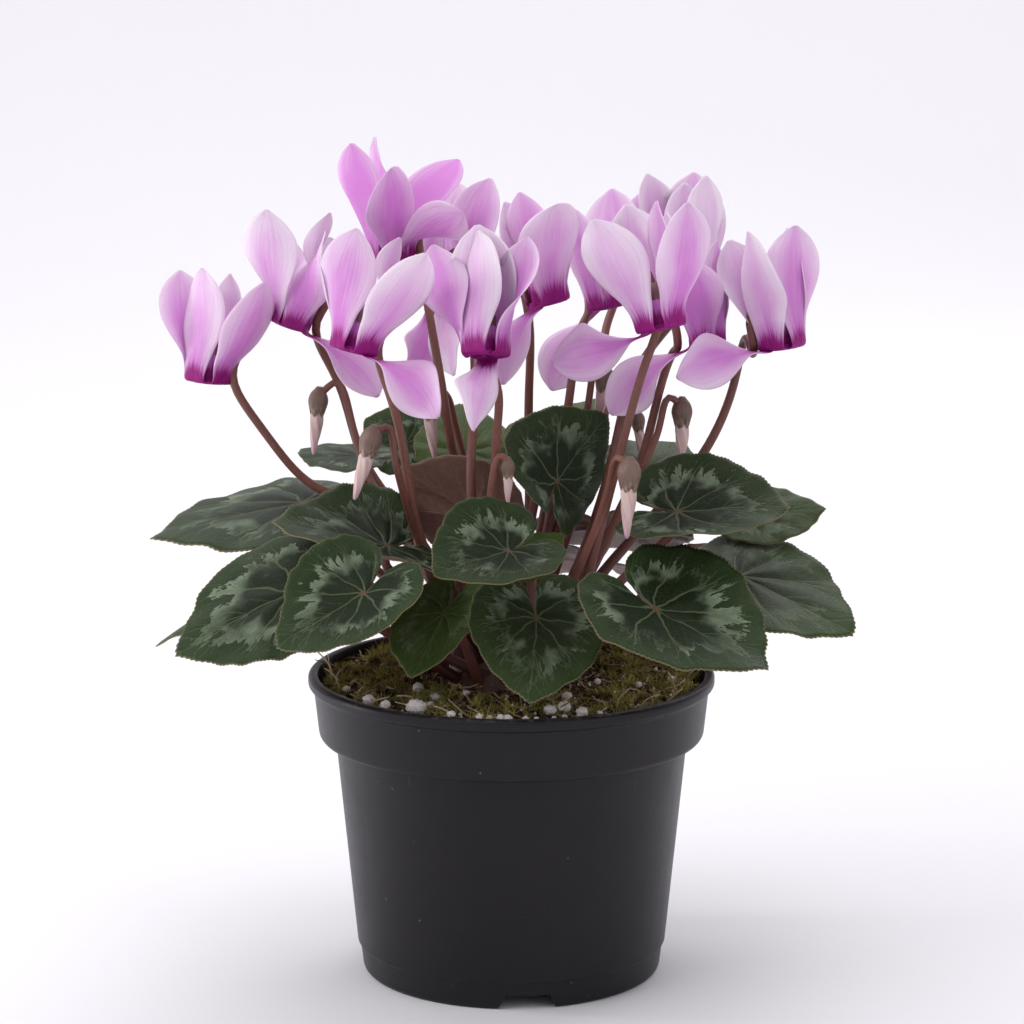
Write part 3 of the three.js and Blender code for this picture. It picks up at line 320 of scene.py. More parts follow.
BLOOMS = (
    bloom("bloom_far_left", (-88.3, 0, 176.5), (6, 6), -6, depth=0, pale=0.05,
          via=((-70, 3, 158), (-61.5, 6, 145.5), (-53, 8, 140.5), (-40, 4, 138), (-29, -1, 130),
               (-19, -3, 112)),
          petals=((-127, 90, 9, 0.99, -3), (-42, 58, 0, 1.03, 28), (19, 94, 47, 0.97, 9),
                  (101, 54, 0, 0.99, -2), (161, 77, 54, 0.96, 3))),
    bloom("bloom_left", (-63.9, 0, 192.7), (18, 4), 18, depth=0.02, pale=0,
          via=((-50, 10, 174), (-45, 7.5, 154), (-40, 7, 145), (-30, 5, 133), (-17, 4, 112)),
          petals=((-152, 63, -54, 1, 11), (-83, 77, 100, 0.92, 5), (-15, -20, -51, 0.86, -17),
                  (74, 98, 100, 1.06, 5), (121, 51, 0, 0.89, -4))),
    bloom("bloom_left_front", (-44.7, -24, 189), (14, 10), 28, depth=0, pale=0,
          via=((-34.5, -19, 176), (-31, -18, 160), (-27, -11, 133), (-16, -3, 108)),
          petals=((-144, 83, -39, 1.03, 14), (-53, 53, -2, 1.09, 19), (-28, -22, -100, 0.9, -24),
                  (66, 80, 90, 1.07, 6), (145, 65, 0, 0.99, -1))),
    bloom("bloom_top_left", (-34.8, 27.4, 209.7), (-6, -8), -12, depth=0.3, pale=0,
          via=((-24, 4, 196), (-20, 6, 172), (-18, 12, 156), (-12, 15, 132), (-7, 10, 112)),
          petals=((-157, 84, -27, 1.1, 8), (-80, 69, -41, 1, -11), (-41, 24, 76, 0.92, 4),
                  (45, 39, -10, 1.03, -15), (100, 82, 85, 1.04, 0))),
    bloom("bloom_centre", (-7.7, -35, 189.6), (0, 18), 97, depth=0, pale=0,
          via=((-3, -29, 181.8), (-4, -22, 169), (-5, -18, 148), (-6, -11, 115)),
          petals=((-119, 95, 26, 1.06, 3), (-30, 72, -81, 1.01, 14), (47, 109, -30, 1.16, -8),
                  (76, -126, 82, 0.82, 28), (178, 71, -73, 0.99, 12))),
    bloom("bloom_centre_right", (10.5, -6, 200.2), (-14, 6), 140, depth=0, pale=0,
          via=((5.7, 8, 186), (5, 16, 168), (5, 11, 126)),
          petals=((-73, 47, -7, 1.11, -13), (-21, 81, 20, 0.82, 28), (52, 105, 1, 1.02, -7),
                  (124, 83, -18, 0.95, 0), (222, -41, 27, 0.82, -28))),
    bloom("bloom_rear_left", (-20.6, 40, 193.9), (0, 0), -10, depth=0, pale=0,
          via=((-11, 22, 182), (-11, -2, 166), (-12, -12, 148), (-8, -10, 112)),
          petals=((22, 76, -30, 1.16, -6), (72, 72, 0, 1.09, 0), (151, 95, 0, 0.82, 4),
                  (237, -49, 91, 0.82, 28), (-82, -38, -69, 0.83, -26))),
    bloom("bloom_right_inner", (29, 17, 196.2), (-12, 4), 142, depth=0, pale=0,
          via=((20, 11, 192), (17, 10, 169), (9, 7, 122)),
          petals=((-134, 84, 13, 0.99, 0), (-68, 54, 0, 0.95, -3), (37, 55, 0, 0.82, -23),
                  (66, 64, -5, 1.08, 6), (152, -45, 100, 0.88, -14))),
    bloom("bloom_front_right", (42.1, -32, 196.7), (-12, 8), 98, depth=0, pale=0,
          via=((38.5, -22, 187), (34, -23, 171), (29, -21, 151), (23, -19, 127), (18, -9, 108)),
          petals=((-140, 70, -31, 1.07, 2), (-50, 57, 4, 1.11, 25), (20, 90, 3, 1.07, 0),
                  (101, 82, -12, 1.11, 1), (150, -4, -100, 0.96, 3))),
    bloom("bloom_top_right", (53.6, 33.5, 195.4), (4, 0), -108, depth=0, pale=0.12,
          via=((42, 13, 186), (35, 9, 176), (29, 2, 150), (20, 5, 121)),
          petals=((-61, 116, -7, 1.16, 7), (3, 99, 47, 1.16, 0), (94, 74, 7, 1.16, 0),
                  (146, 69, 11, 1.16, 1), (222, 72, 20, 0.85, -1))),
    bloom("bloom_right_low", (56, 2, 186.8), (-6, 4), 161, depth=0.14, pale=0,
          via=((48, 10, 187), (42, 8, 167), (39, 7, 153), (20, 3, 114)),
          petals=((-97, 52, 0, 0.96, -3), (-50, 82, -21, 0.93, -3), (19, 87, 0, 0.82, 28),
                  (85, 60, 0, 0.82, -5), (176, -33, 93, 0.89, -16))),
    bloom("bloom_far_right", (77.5, -10, 188), (-7, 4), 177, depth=0, pale=0.08,
          via=((68, 6, 192), (66, 13, 173), (57, 10, 153), (28, 5, 120)),
          petals=((-120, 76, 39, 1.08, 10), (-34, 86, 38, 1.05, -5), (35, 87, 9, 1.02, 6),
                  (149, 76, 33, 0.99, 3), (206, -4, 100, 0.91, -18))),
    bloom("bloom_rear_right", (37.6, 59, 194.7), (0, 2), -135, depth=0, pale=0.15,
          via=((27, 38, 183), (29, 26, 167), (24, 14, 150), (14, 9, 122)),
          petals=((-96, 55, 0, 0.98, -3), (-19, 92, 0, 0.82, 3), (54, 94, 0, 0.92, 2),
                  (126, 85, 0, 0.91, 1), (205, 77, 0, 0.82, 28))),
)

BUDS = (
    bud("bud_left", (-57, 8, 166), (-51, 8, 175),
        via=((-46, 6, 160), (-42.5, 4.6, 147), (-34, 1, 137), (-21, 0, 114)), points=(-0.1, 0, -1), size=1),
    bud("bud_left_front", (-41, -26, 160), (-35, -23, 167),
        via=((-33, -23, 156), (-28, -12, 134), (-19, -5, 108)), points=(-0.28, 0, -1), size=1.1),
    bud("bud_middle_left", (-24, 12, 164), (-20, 14, 171), via=((-16, 18, 158), (-11, 18.5, 136)),
        points=(0.1, 0, -1), size=1),
    bud("bud_centre", (-1, -24, 153), (-3, -24, 159), via=((-6, -22, 148),), points=(0, 0, -1), size=0.7),
    bud("bud_right_front", (33, -40, 152.8), (30, -38, 160.8), via=((27, -30, 148), (20, -19, 126)),
        points=(-0.03, 0, -1), size=1.15),
    bud("bud_right", (50, 6, 163), (46, 5, 171), via=((42, 4, 158),), points=(0, 0, -1), size=1.05),
    bud("bud_right_rear", (38, 26, 158), (35, 24, 165), via=((31, 14, 150),), points=(0.1, 0, -1),
        size=0.75),
    bud("bud_middle_right", (27, 14, 172), (25, 13, 180), via=((22, 10, 165),), points=(-0.15, 0, -1),
        size=0.95),
)

# The larger grains of perlite in view: place on the soil and size
PERLITE_GRAINS = (
    (-27, -42, 5), (-27, -22, 3.2), (-22, -31, 2.6), (-13, -32, 1.8), (-17, -49, 2.2), (-16, -5, 5),
    (11, -45, 3.2), (15, -43, 3.6), (20, -48, 3.2), (16, -31, 2.6), (-1, -52, 2.6), (-9, -51, 2),
    (-3, -52, 2.6), (25, -46, 1.6), (-36, -37, 3), (-41, -31, 3.2), (-6, -52, 1.8), (-9, -52, 1.5),
    (12, -51, 1.5), (15, -50, 1.6), (19, -49, 1.3), (-23, -37, 2), (-48, -18, 2), (37, -18, 2),
    (47, -8, 2), (25, -18, 2), (4, -52, 1.5), (7, -52, 1.4),
)

# Bits of straw that stand up at the rim: foot, lean and height
STRAWS = (
    (-50, -14, -4, -6, 9), (-46, -22, 3, -7, 6), (-53, -4, -5, -2, 12), (-49, 4, -9, -3, 7),
    (-40, -33, 5, -4, 5), (52, -8, 3, -4, 8), (48, -18, -3, -6, 9), (54, 2, 4, 2, 7), (44, -27, 5, -4, 6),
    (36, -36, 6, -6, 7), (12, -45, 5, 3, 6), (-12, -44, -6, 2, 5), (30, -40, 4, 1, 8), (-28, -40, -5, -3, 5),
    (50, 14, 6, 4, 9), (-20, 46, -4, 5, 8), (24, 44, 5, 4, 7), (2, 50, 3, 6, 6),
)


# Curves and places

def ease(t):
    """A smooth step from 0 to 1."""
    t = np.clip(t, 0, 1)
    return t * t * (3 - 2 * t)


def hermite(t, start, leaving, end, arriving):
    """A cubic curve from start to end, with the slopes at which it leaves and arrives."""
    return (
        (2 * t**3 - 3 * t**2 + 1) * start
        + (t**3 - 2 * t**2 + t) * leaving
        + (3 * t**2 - 2 * t**3) * end
        + (t**3 - t**2) * arriving
    )


def along_table(table, places):
    """Values between the entries of a table of (place, value), eased so that the outline has no corner."""
    x, y = (np.array(column, float) for column in zip(*table))
    slopes = np.empty(len(x))
    slopes[1:-1] = (y[2:] - y[:-2]) / (x[2:] - x[:-2])
    slopes[0] = (y[1] - y[0]) / (x[1] - x[0])
    slopes[-1] = (y[-1] - y[-2]) / (x[-1] - x[-2])
    place = np.clip(np.asarray(places, float), x[0], x[-1])
    k = np.clip(np.searchsorted(x, place) - 1, 0, len(x) - 2)
    width = x[k + 1] - x[k]
    return hermite((place - x[k]) / width, y[k], width * slopes[k], y[k + 1], width * slopes[k + 1])


def unit(v):
    return v / np.linalg.norm(v)


def point(values):
    return np.array(values, float)


def full_turn(count):
    """Angles evenly round a circle."""
    return np.linspace(0, 2 * math.pi, count, endpoint=False)


def smooth_path(points, count):
    """Evenly spaced points of a centripetal curve through the given ones."""
    points = [point(p) for p in points]
    points = [2 * points[0] - points[1], *points, 2 * points[-1] - points[-2]]
    t = np.linspace(0, 1, CURVE_STEPS, endpoint=False)[:, None]
    dense = []
    for p0, p1, p2, p3 in zip(points, points[1:], points[2:], points[3:]):
        d0, d1, d2 = (max(np.linalg.norm(b - a), 1e-6) ** 0.5 for a, b in ((p0, p1), (p1, p2), (p2, p3)))
        leaving = ((p1 - p0) / d0 - (p2 - p0) / (d0 + d1) + (p2 - p1) / d1) * d1
        arriving = ((p2 - p1) / d1 - (p3 - p1) / (d1 + d2) + (p3 - p2) / d2) * d1
        dense.append(hermite(t, p1, leaving, p2, arriving))
    dense = np.concatenate([*dense, points[-2][None]])
    reach = np.concatenate([[0], np.cumsum(np.linalg.norm(np.diff(dense, axis=0), axis=1))])
    even = np.linspace(0, reach[-1], count)
    return np.stack([np.interp(even, reach, dense[:, i]) for i in range(3)], -1)


def soften(path, rounds, freedom):
    """A path with its corners worn down and its ends kept. Freedom says where it gives way, from 0 to 1."""
    path = path.copy()
    give = freedom[1:-1, None] / 4
    for _ in range(rounds):
        path[1:-1] += give * (path[:-2] - 2 * path[1:-1] + path[2:])
    return path


# Meshes. A part of a piece is its points in millimetres, its faces, and the attributes that its finish reads.

def shell(top, under, attributes_top, attributes_under):
    """A closed thin body between two grids of points of the same shape, rows by columns."""
    rows, columns = top.shape[:2]
    index = np.arange(rows * columns).reshape(rows, columns)
    a, b, c, d = index[:-1, :-1], index[:-1, 1:], index[1:, 1:], index[1:, :-1]
    face_top = np.stack([a, b, c, d], -1).reshape(-1, 4)
    below = rows * columns
    face_under = face_top[:, ::-1] + below
    rim = np.concatenate([index[0], index[1:, -1], index[-1, -2::-1], index[-2:0:-1, 0]])
    after = np.roll(rim, -1)
    face_rim = np.stack([rim, rim + below, after + below, after], -1)
    points = np.concatenate([top.reshape(-1, 3), under.reshape(-1, 3)])
    attributes = {
        key: np.concatenate([attributes_top[key].reshape(-1, 3), attributes_under[key].reshape(-1, 3)])
        for key in attributes_top
    }
    return points, np.concatenate([face_top, face_under, face_rim]).tolist(), attributes


def loft(rings, attributes=None):
    """A closed body through rings of points, flat at both ends."""
    count, sides = rings.shape[:2]
    index = np.arange(count * sides).reshape(count, sides)
    beside = np.roll(index, -1, axis=1)
    faces = np.stack([index[:-1], beside[:-1], beside[1:], index[1:]], -1).reshape(-1, 4).tolist()
    faces.append(index[0][::-1].tolist())
    faces.append(index[-1].tolist())
    return rings.reshape(-1, 3), faces, attributes or {}


def turned(profile, sides, shape=None):
    """A closed body of revolution about Z from a closed profile of (radius, height)."""
    profile = np.array(profile, float)
    angle = full_turn(sides)
    radius, height = profile[:, 0][:, None], profile[:, 1][:, None]
    radius = radius * (1 if shape is None else shape(angle[None], height))
    rings = np.stack(
        [radius * np.cos(angle), radius * np.sin(angle), np.broadcast_to(height, (len(profile), sides))], -1
    )
    index = np.arange(rings[..., 0].size).reshape(rings.shape[:2])
    beside = np.roll(index, -1, axis=1)
    above = np.roll(index, -1, axis=0)
    both = np.roll(above, -1, axis=1)
    faces = np.stack([index, beside, both, above], -1).reshape(-1, 4)
    return rings.reshape(-1, 3), faces.tolist()


def rounded(profile, radius, steps=4):
    """A closed profile with each of its corners replaced by a small arc."""
    result = []
    count = len(profile)
    for i, corner in enumerate(profile):
        corner = point(corner)
        before = point(profile[i - 1]) - corner
        after = point(profile[(i + 1) % count]) - corner
        if corner[0] == 0:
            result.append(corner)
            continue
        cut = min(radius, 0.45 * np.linalg.norm(before), 0.45 * np.linalg.norm(after))
        start, end = corner + unit(before) * cut, corner + unit(after) * cut
        for t in np.linspace(0, 1, steps):
            result.append((1 - t) ** 2 * start + 2 * t * (1 - t) * corner + t**2 * end)
    return result


def rings_along(start, axes, heights, radii, sides):
    """Rings of points round an axis. Axes: two across, and the way along."""
    x, y, way = axes
    angle = full_turn(sides)[None]
    across = x * (radii * np.cos(angle))[..., None] + y * (radii * np.sin(angle))[..., None]
    return start + way * heights[..., None] + across


def new_object(name, points, faces, edges=()):
    mesh = bpy.data.meshes.new(name)
    mesh.from_pydata((np.asarray(points) * MM).tolist(), edges, faces)
    made = bpy.data.objects.new(name, mesh)
    bpy.context.collection.objects.link(made)
    return made


def mark(mesh, name, values):
    """Gives every point of a mesh a number, or three, under a name."""
    values = np.asarray(values, np.float32)
    kind, field = ("FLOAT", "value") if values.ndim == 1 else ("FLOAT_VECTOR", "vector")
    mesh.attributes.new(name, kind, "POINT").data.foreach_set(field, values.ravel())


def joined(name, parts):
    """One object out of parts, with its poles welded and its faces outwards."""
    faces, start = [], 0
    for points, part_faces, _ in parts:
        faces += [[i + start for i in face] for face in part_faces]
        start += len(points)
    made = new_object(name, np.concatenate([part[0] for part in parts]), faces)
    for key in parts[0][2]:
        mark(made.data, key, np.concatenate([part[2][key] for part in parts]))
    close_up(made)
    return made


def close_up(made):
    """Welds the poles of a mesh, points its faces outwards and shades them smooth."""
    work = bmesh.new()
    work.from_mesh(made.data)
    bmesh.ops.remove_doubles(work, verts=work.verts, dist=1e-6)
    bmesh.ops.dissolve_degenerate(work, edges=work.edges, dist=1e-7)
    bmesh.ops.recalc_face_normals(work, faces=work.faces)
    work.to_mesh(made.data)
    work.free()
    made.data.polygons.foreach_set("use_smooth", [True] * len(made.data.polygons))


def apply_modifiers(made):
    """Replaces an object's mesh by what its modifiers make of it."""
    shape = bpy.data.meshes.new_from_object(made.evaluated_get(bpy.context.evaluated_depsgraph_get()))
    made.modifiers.clear()
    made.data = shape


def dress(piece, finish, slot, replaces=()):
    """Gives a piece its finish and its body, and hides the parts of model.glb that it stands for."""
    piece.data.materials.clear()
    piece.data.materials.append(finish)
    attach(piece, "root")
    if replaces:
        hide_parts(*replaces)
    return piece


def make_piece(name, parts, finish, slot, replaces=()):
    return dress(joined(name, parts), finish, slot, replaces)


# Node trees

class Field:
    """A value that a node tree works out. Sums, products and steps of it are further nodes of its tree."""

    def __init__(self, graph, socket):
        self.graph = graph
        self.socket = socket

    def __add__(self, other):
        return self.graph.math("ADD", self, other)

    def __sub__(self, other):
        return self.graph.math("SUBTRACT", self, other)

    def __rsub__(self, other):
        return self.graph.math("SUBTRACT", other, self)

    def __mul__(self, other):
        return self.graph.math("MULTIPLY", self, other)

    def __truediv__(self, other):
        return self.graph.math("DIVIDE", self, other)

    def __abs__(self):
        return self.graph.math("ABSOLUTE", self)

    def __round__(self):
        return self.graph.math("ROUND", self)

    __radd__ = __add__
    __rmul__ = __mul__

    def larger(self, other):
        return self.graph.math("MAXIMUM", self, other)

    def smaller(self, other):
        return self.graph.math("MINIMUM", self, other)

    def below(self, limit):
        return self.graph.math("LESS_THAN", self, limit)

    def step(self, low, high):
        """0 below low and 1 above high, smooth between them."""
        limits = {"Value": self, "From Min": low, "From Max": high}
        return self.graph.add("ShaderNodeMapRange", limits, interpolation_type="SMOOTHSTEP")

    def fade(self, low, high):
        """1 below low and 0 above high, smooth between them."""
        return 1 - self.step(low, high)

    def between(self, low, high):
        """A value from 0 to 1 carried linearly to the range from low to high."""
        return self.graph.add("ShaderNodeMapRange", {"Value": self, "To Min": low, "To Max": high})


class Graph:
    """A node tree under construction. Fields that a node is given are linked, and other values are set."""

    def __init__(self, tree):
        self.tree = tree

    def outputs(self, kind, inputs=(), **settings):
        """Every output of a new node, as a field."""
        node = self.tree.nodes.new(kind)
        for name, value in settings.items():
            setattr(node, name, value)
        for key, value in dict(inputs).items():
            if isinstance(value, Field):
                self.tree.links.new(value.socket, node.inputs[key])
            else:
                node.inputs[key].default_value = value
        return [Field(self, socket) for socket in node.outputs]

    def add(self, kind, inputs=(), output=0, **settings):
        """One output of a new node, by its place among them."""
        return self.outputs(kind, inputs, **settings)[output]

    def use(self, group, **inputs):
        """The first output of a node group."""
        return self.add("ShaderNodeGroup", inputs, node_tree=group)

    def math(self, operation, *values):
        return self.add("ShaderNodeMath", enumerate(values), operation=operation)

    def vector_math(self, operation, *values):
        return self.add("ShaderNodeVectorMath", enumerate(values), operation=operation)

    def noise(self, vector, scale, detail=2.0, roughness=0.5):
        inputs = {"Vector": vector, "Scale": scale, "Detail": detail, "Roughness": roughness}
        return self.add("ShaderNodeTexNoise", inputs)

    def cells(self, vector, scale, feature="F1"):
        return self.add("ShaderNodeTexVoronoi", {"Vector": vector, "Scale": scale}, feature=feature)

    def vector(self, x, y, z):
        return self.add("ShaderNodeCombineXYZ", enumerate((x, y, z)))

    def place(self):
        """The place in the object, in metres."""
        return self.add("ShaderNodeTexCoord", output=3)

    def split(self, vector):
        """The three parts of a vector, which may be the name of an attribute."""
        if isinstance(vector, str):
            vector = self.add("ShaderNodeAttribute", output=1, attribute_name=vector)
        return self.outputs("ShaderNodeSeparateXYZ", {0: vector})

    def blend(self, factor, first, second):
        """The first colour where the factor is 0, and the second where it is 1."""
        first, second = ((*colour, 1) if isinstance(colour, tuple) else colour for colour in (first, second))
        return self.add("ShaderNodeMix", {0: factor, 6: first, 7: second}, output=2, data_type="RGBA")

    def coats(self, colour, *coats):
        """A colour with coats of (mask, colour) laid over it in turn."""
        for mask, coat in coats:
            colour = self.blend(mask, colour, coat)
        return colour

    def realized(self, geometry, finish):
        """The end of a geometry tree: its copies made real, in their finish."""
        real = self.add("GeometryNodeRealizeInstances", {"Geometry": geometry})
        return self.add("GeometryNodeSetMaterial", {"Geometry": real, "Material": finish})


def node_group(kind, name, inputs, outputs, fill):
    """A node group with inputs and outputs {name: socket type}. Fill turns the first into the second."""
    tree = bpy.data.node_groups.new(name, kind)
    for direction, sockets in (("INPUT", inputs), ("OUTPUT", outputs)):
        for key, socket_type in sockets.items():
            tree.interface.new_socket(key, in_out=direction, socket_type="NodeSocket" + socket_type)
    graph = Graph(tree)
    given = tree.nodes.new("NodeGroupInput").outputs
    results = fill(graph, {key: Field(graph, given[key]) for key in inputs})
    sink = tree.nodes.new("NodeGroupOutput")
    for key, result in results.items():
        tree.links.new(result.socket, sink.inputs[key])
    return tree


def run_tree(carrier, tree, values):
    """Runs a geometry tree on an object with its named inputs, and leaves the result as a plain mesh."""
    modifier = carrier.modifiers.new(tree.name, "NODES")
    modifier.node_group = tree
    for item in tree.interface.items_tree:
        if item.in_out == "INPUT" and item.name in values:
            modifier[item.identifier] = values[item.name]
    apply_modifiers(carrier)


def fill_tubes(graph, given):
    """Lays a closed round tube along each line of a mesh, as thick as the line's attribute thickness says."""
    lines = graph.add("GeometryNodeMeshToCurve", {"Mesh": given["Lines"]})
    circle = graph.add("GeometryNodeCurvePrimitiveCircle", {"Resolution": given["Sides"], "Radius": 1})
    thickness = graph.add("GeometryNodeInputNamedAttribute", {"Name": "thickness"}, data_type="FLOAT")
    swept = {"Curve": lines, "Profile Curve": circle, "Scale": thickness, "Fill Caps": True}
    return {"Tubes": graph.realized(graph.add("GeometryNodeCurveToMesh", swept), given["Finish"])}


TUBES = node_group(
    "GeometryNodeTree", "tubes", {"Lines": "Geometry", "Sides": "Int", "Finish": "Material"},
    {"Tubes": "Geometry"}, fill_tubes,
)


def tubes(lines, sides, finish):
    """Closed round tubes along lines of (path, radii, tone), with the attribute stem: along, tone, and 0."""
    edges, radii, stem, start = [], [], [], 0
    for path, radius, tone in lines:
        count = len(path)
        edges += [(start + i, start + i + 1) for i in range(count - 1)]
        radii.append(radius * MM)
        stem.append(np.stack(np.broadcast_arrays(np.linspace(0, 1, count), tone, 0), -1))
        start += count
    carrier = new_object("lines", np.concatenate([line[0] for line in lines]), [], edges)
    mark(carrier.data, "thickness", np.concatenate(radii))
    mark(carrier.data, "stem", np.concatenate(stem))
    run_tree(carrier, TUBES, {"Sides": sides, "Finish": finish})
    shape = carrier.data
    points = np.array([vert.co for vert in shape.vertices]) / MM
    faces = [list(face.vertices) for face in shape.polygons]
    stem = np.array([value.vector for value in shape.attributes["stem"].data])
    bpy.data.objects.remove(carrier)
    return points, faces, {"stem": stem}


def fill_scatter(graph, given):
    """Copies one thing over a surface, as densely as an attribute of the surface says."""
    cover = graph.add("GeometryNodeInputNamedAttribute", {"Name": given["Cover"]}, data_type="FLOAT")
    seed, tilt = given["Seed"], given["Tilt"]
    spots = {"Mesh": given["Surface"], "Density": cover * given["Density"], "Seed": seed}
    points = graph.add("GeometryNodeDistributePointsOnFaces", spots)
    lift = graph.vector(0, 0, given["Lift"])
    points = graph.add("GeometryNodeSetPosition", {"Geometry": points, "Offset": lift})
    thing = graph.add("GeometryNodeObjectInfo", {"Object": given["Thing"]}, output=4)
    turns = {0: graph.vector(tilt * -1, tilt * -1, 0), 1: graph.vector(tilt, tilt, 2 * math.pi), "Seed": seed}
    turn = graph.add("FunctionNodeRandomValue", turns, data_type="FLOAT_VECTOR")
    sizes = {2: given["Smallest"], 3: given["Largest"], "Seed": seed + 11}
    size = graph.add("FunctionNodeRandomValue", sizes, output=1, data_type="FLOAT")
    copies = {"Points": points, "Instance": thing, "Rotation": turn, "Scale": size}
    copies = graph.add("GeometryNodeInstanceOnPoints", copies)
    shade = graph.add("FunctionNodeRandomValue", {2: 0, 3: 1, "Seed": seed + 23}, output=1, data_type="FLOAT")
    named = {"Geometry": copies, "Name": "bit", "Value": shade}
    copies = graph.add("GeometryNodeStoreNamedAttribute", named, data_type="FLOAT", domain="INSTANCE")
    return {"Copies": graph.realized(copies, given["Finish"])}


SCATTER = node_group(
    "GeometryNodeTree", "scatter",
    {
        "Surface": "Geometry", "Thing": "Object", "Cover": "String", "Density": "Float", "Smallest": "Float",
        "Largest": "Float", "Tilt": "Float", "Lift": "Float", "Seed": "Int", "Finish": "Material",
    },
    {"Copies": "Geometry"}, fill_scatter,
)


def scatter(name, surface, thing, finish, cover, density, sizes, tilt, lift, seed):
    """Covers the soil's surface with copies of one thing, so many to a square metre, as one plain mesh."""
    carrier = bpy.data.objects.new(name, surface.data.copy())
    bpy.context.collection.objects.link(carrier)
    run_tree(carrier, SCATTER, {
        "Thing": thing, "Cover": cover, "Density": float(density), "Smallest": sizes[0], "Largest": sizes[1],
        "Tilt": tilt, "Lift": lift * MM, "Seed": seed, "Finish": finish,
    })
    bpy.data.objects.remove(thing)
    close_up(carrier)
    dress(carrier, finish, "soil")


# Effects that several finishes use, or that one finish has many nodes for

def fill_mottle(graph, given):
    """Soft patches and specks over a surface, as a value round 0.5."""
    place = graph.place()
    broad = graph.noise(place, given["Scale"], 3, 0.6)
    specks = graph.noise(place, given["Scale"] * 7, 2, 0.6)
    return {"Value": (broad * 0.65 + specks * 0.35 - 0.5) * given["Contrast"] + 0.5}


def fill_skin(graph, given):
    """The small grain of a surface, with the relief that is handed in."""
    height = graph.noise(graph.place(), given["Scale"]) * given["Grain"] + given["Relief"]
    return {"Normal": graph.add("ShaderNodeBump", {"Height": height, "Distance": 1, "Strength": 1})}


def fill_veins(graph, given):
    """The palmate veins of a blade: from the stalk outwards, bent towards the tip and forked half way."""
    x, y, share = given["X"], given["Y"], given["Share"]
    reach = graph.math("SQRT", x * x + y * y)
    turns = graph.math("ARCTAN2", y, x) / (1 - reach * VEIN_CURVE) / VEIN_PERIOD
    offset = abs(turns - round(turns)) * VEIN_PERIOD
    width = 0.015 - reach * 0.009
    trunk = (offset * reach / width).fade(0.3, 1)
    fork = (reach - VEIN_FORK).larger(0) * VEIN_FORK_SPREAD
    branch = (abs(offset - fork) * reach / width).fade(0.2, 0.8) * reach.step(VEIN_FORK, VEIN_FORK + 0.04)
    # Slanted side veins along the midrib
    aside = abs(y)
    rungs = (x - aside * 1.1) / RUNG_GAP
    rung = (abs(rungs - round(rungs)) * RUNG_GAP).fade(0.002, 0.009)
    rung = rung * aside.fade(0.1, 0.26) * rungs.step(0.8, 1.2)
    # Only the midrib reaches the edge
    reaching = share.fade(0.68, 1).larger(abs(turns).step(0.5, 0.45))
    lines = trunk.larger(branch.larger(rung) * 0.7) * reaching
    near = graph.math("COSINE", offset * (math.pi / VEIN_PERIOD)).larger(0)
    return {"Lines": lines, "Reach": reach, "Near": near}


def fill_silver(graph, given):
    """The silvery marking: soft towards the dark centre, ending in fingers, and leaving the tip free."""
    x, y, share, seed = given["X"], given["Y"], given["Share"], given["Seed"]
    place = graph.vector(x, y, seed)
    bearing = graph.math("ARCTAN2", y, x)
    start = 0.36 + given["Near"] * 0.1 + (graph.noise(place, 4.5) - 0.5) * 0.4
    inside = (share - start).step(0, 0.17)
    finger_place = graph.vector(bearing * 4.2, given["Reach"] * 2.4, seed)
    fingers = graph.noise(finger_place, 1.7, 4, 0.66) - 0.5
    left = 0.7 + fingers * 1.15 - share
    blotches = graph.noise(place, 3.4).step(0.42, 0.6) * abs(bearing).step(0.12, 0.5).between(0.35, 1)
    strength = blotches * 0.78 + left.fade(0.03, 0.13) * 0.22
    band = inside * left.step(-0.008, 0.02) * strength
    dots = graph.cells(place, 17).below(0.12) * graph.noise(place, 9, 1).step(0.5, 0.58)
    return {"Amount": band.larger(dots * share.step(0.62, 0.72) * 0.5)}


MOTTLE = node_group(
    "ShaderNodeTree", "mottle", {"Scale": "Float", "Contrast": "Float"}, {"Value": "Float"}, fill_mottle
)
SKIN = node_group(
    "ShaderNodeTree", "skin", {"Scale": "Float", "Grain": "Float", "Relief": "Float"}, {"Normal": "Vector"},
    fill_skin,
)
VEINS = node_group(
    "ShaderNodeTree", "veins", {"X": "Float", "Y": "Float", "Share": "Float"},
    {"Lines": "Float", "Reach": "Float", "Near": "Float"}, fill_veins,
)
SILVER = node_group(
    "ShaderNodeTree", "silver",
    {"X": "Float", "Y": "Float", "Share": "Float", "Reach": "Float", "Near": "Float", "Seed": "Float"},
    {"Amount": "Float"}, fill_silver,
)


# Colours. A pair is what a pattern runs between, from its 0 to its 1.

PLASTIC = ((0.006, 0.0053, 0.0072), (0.0105, 0.0094, 0.0125))
PLASTIC_DUST = (0.11, 0.1, 0.09)
PLASTIC_SCUFF = (0.08, 0.078, 0.085)
PLASTIC_FLECK = (0.2, 0.18, 0.17)
PEAT = ((0.01, 0.006, 0.0035), (0.09, 0.06, 0.032))
MOSS_GREEN = ((0.03, 0.03, 0.006), (0.66, 0.6, 0.17))
CRUMB_BROWN = ((0.01, 0.007, 0.004), (0.32, 0.22, 0.13))
FIBRE_TAN = ((0.09, 0.055, 0.03), (0.72, 0.6, 0.4))
PERLITE_WHITE = ((0.7, 0.66, 0.62), (1.0, 0.98, 0.95))
STALK_RED = ((0.075, 0.019, 0.013), (0.27, 0.105, 0.075))
STALK_FOOT = (0.04, 0.009, 0.008)
SEPAL_BROWN = ((0.055, 0.028, 0.02), (0.27, 0.175, 0.13))
SEPAL_TIP = (0.5, 0.36, 0.3)
LEAF_CENTRE = ((0.005, 0.011, 0.003), (0.012, 0.022, 0.0075))
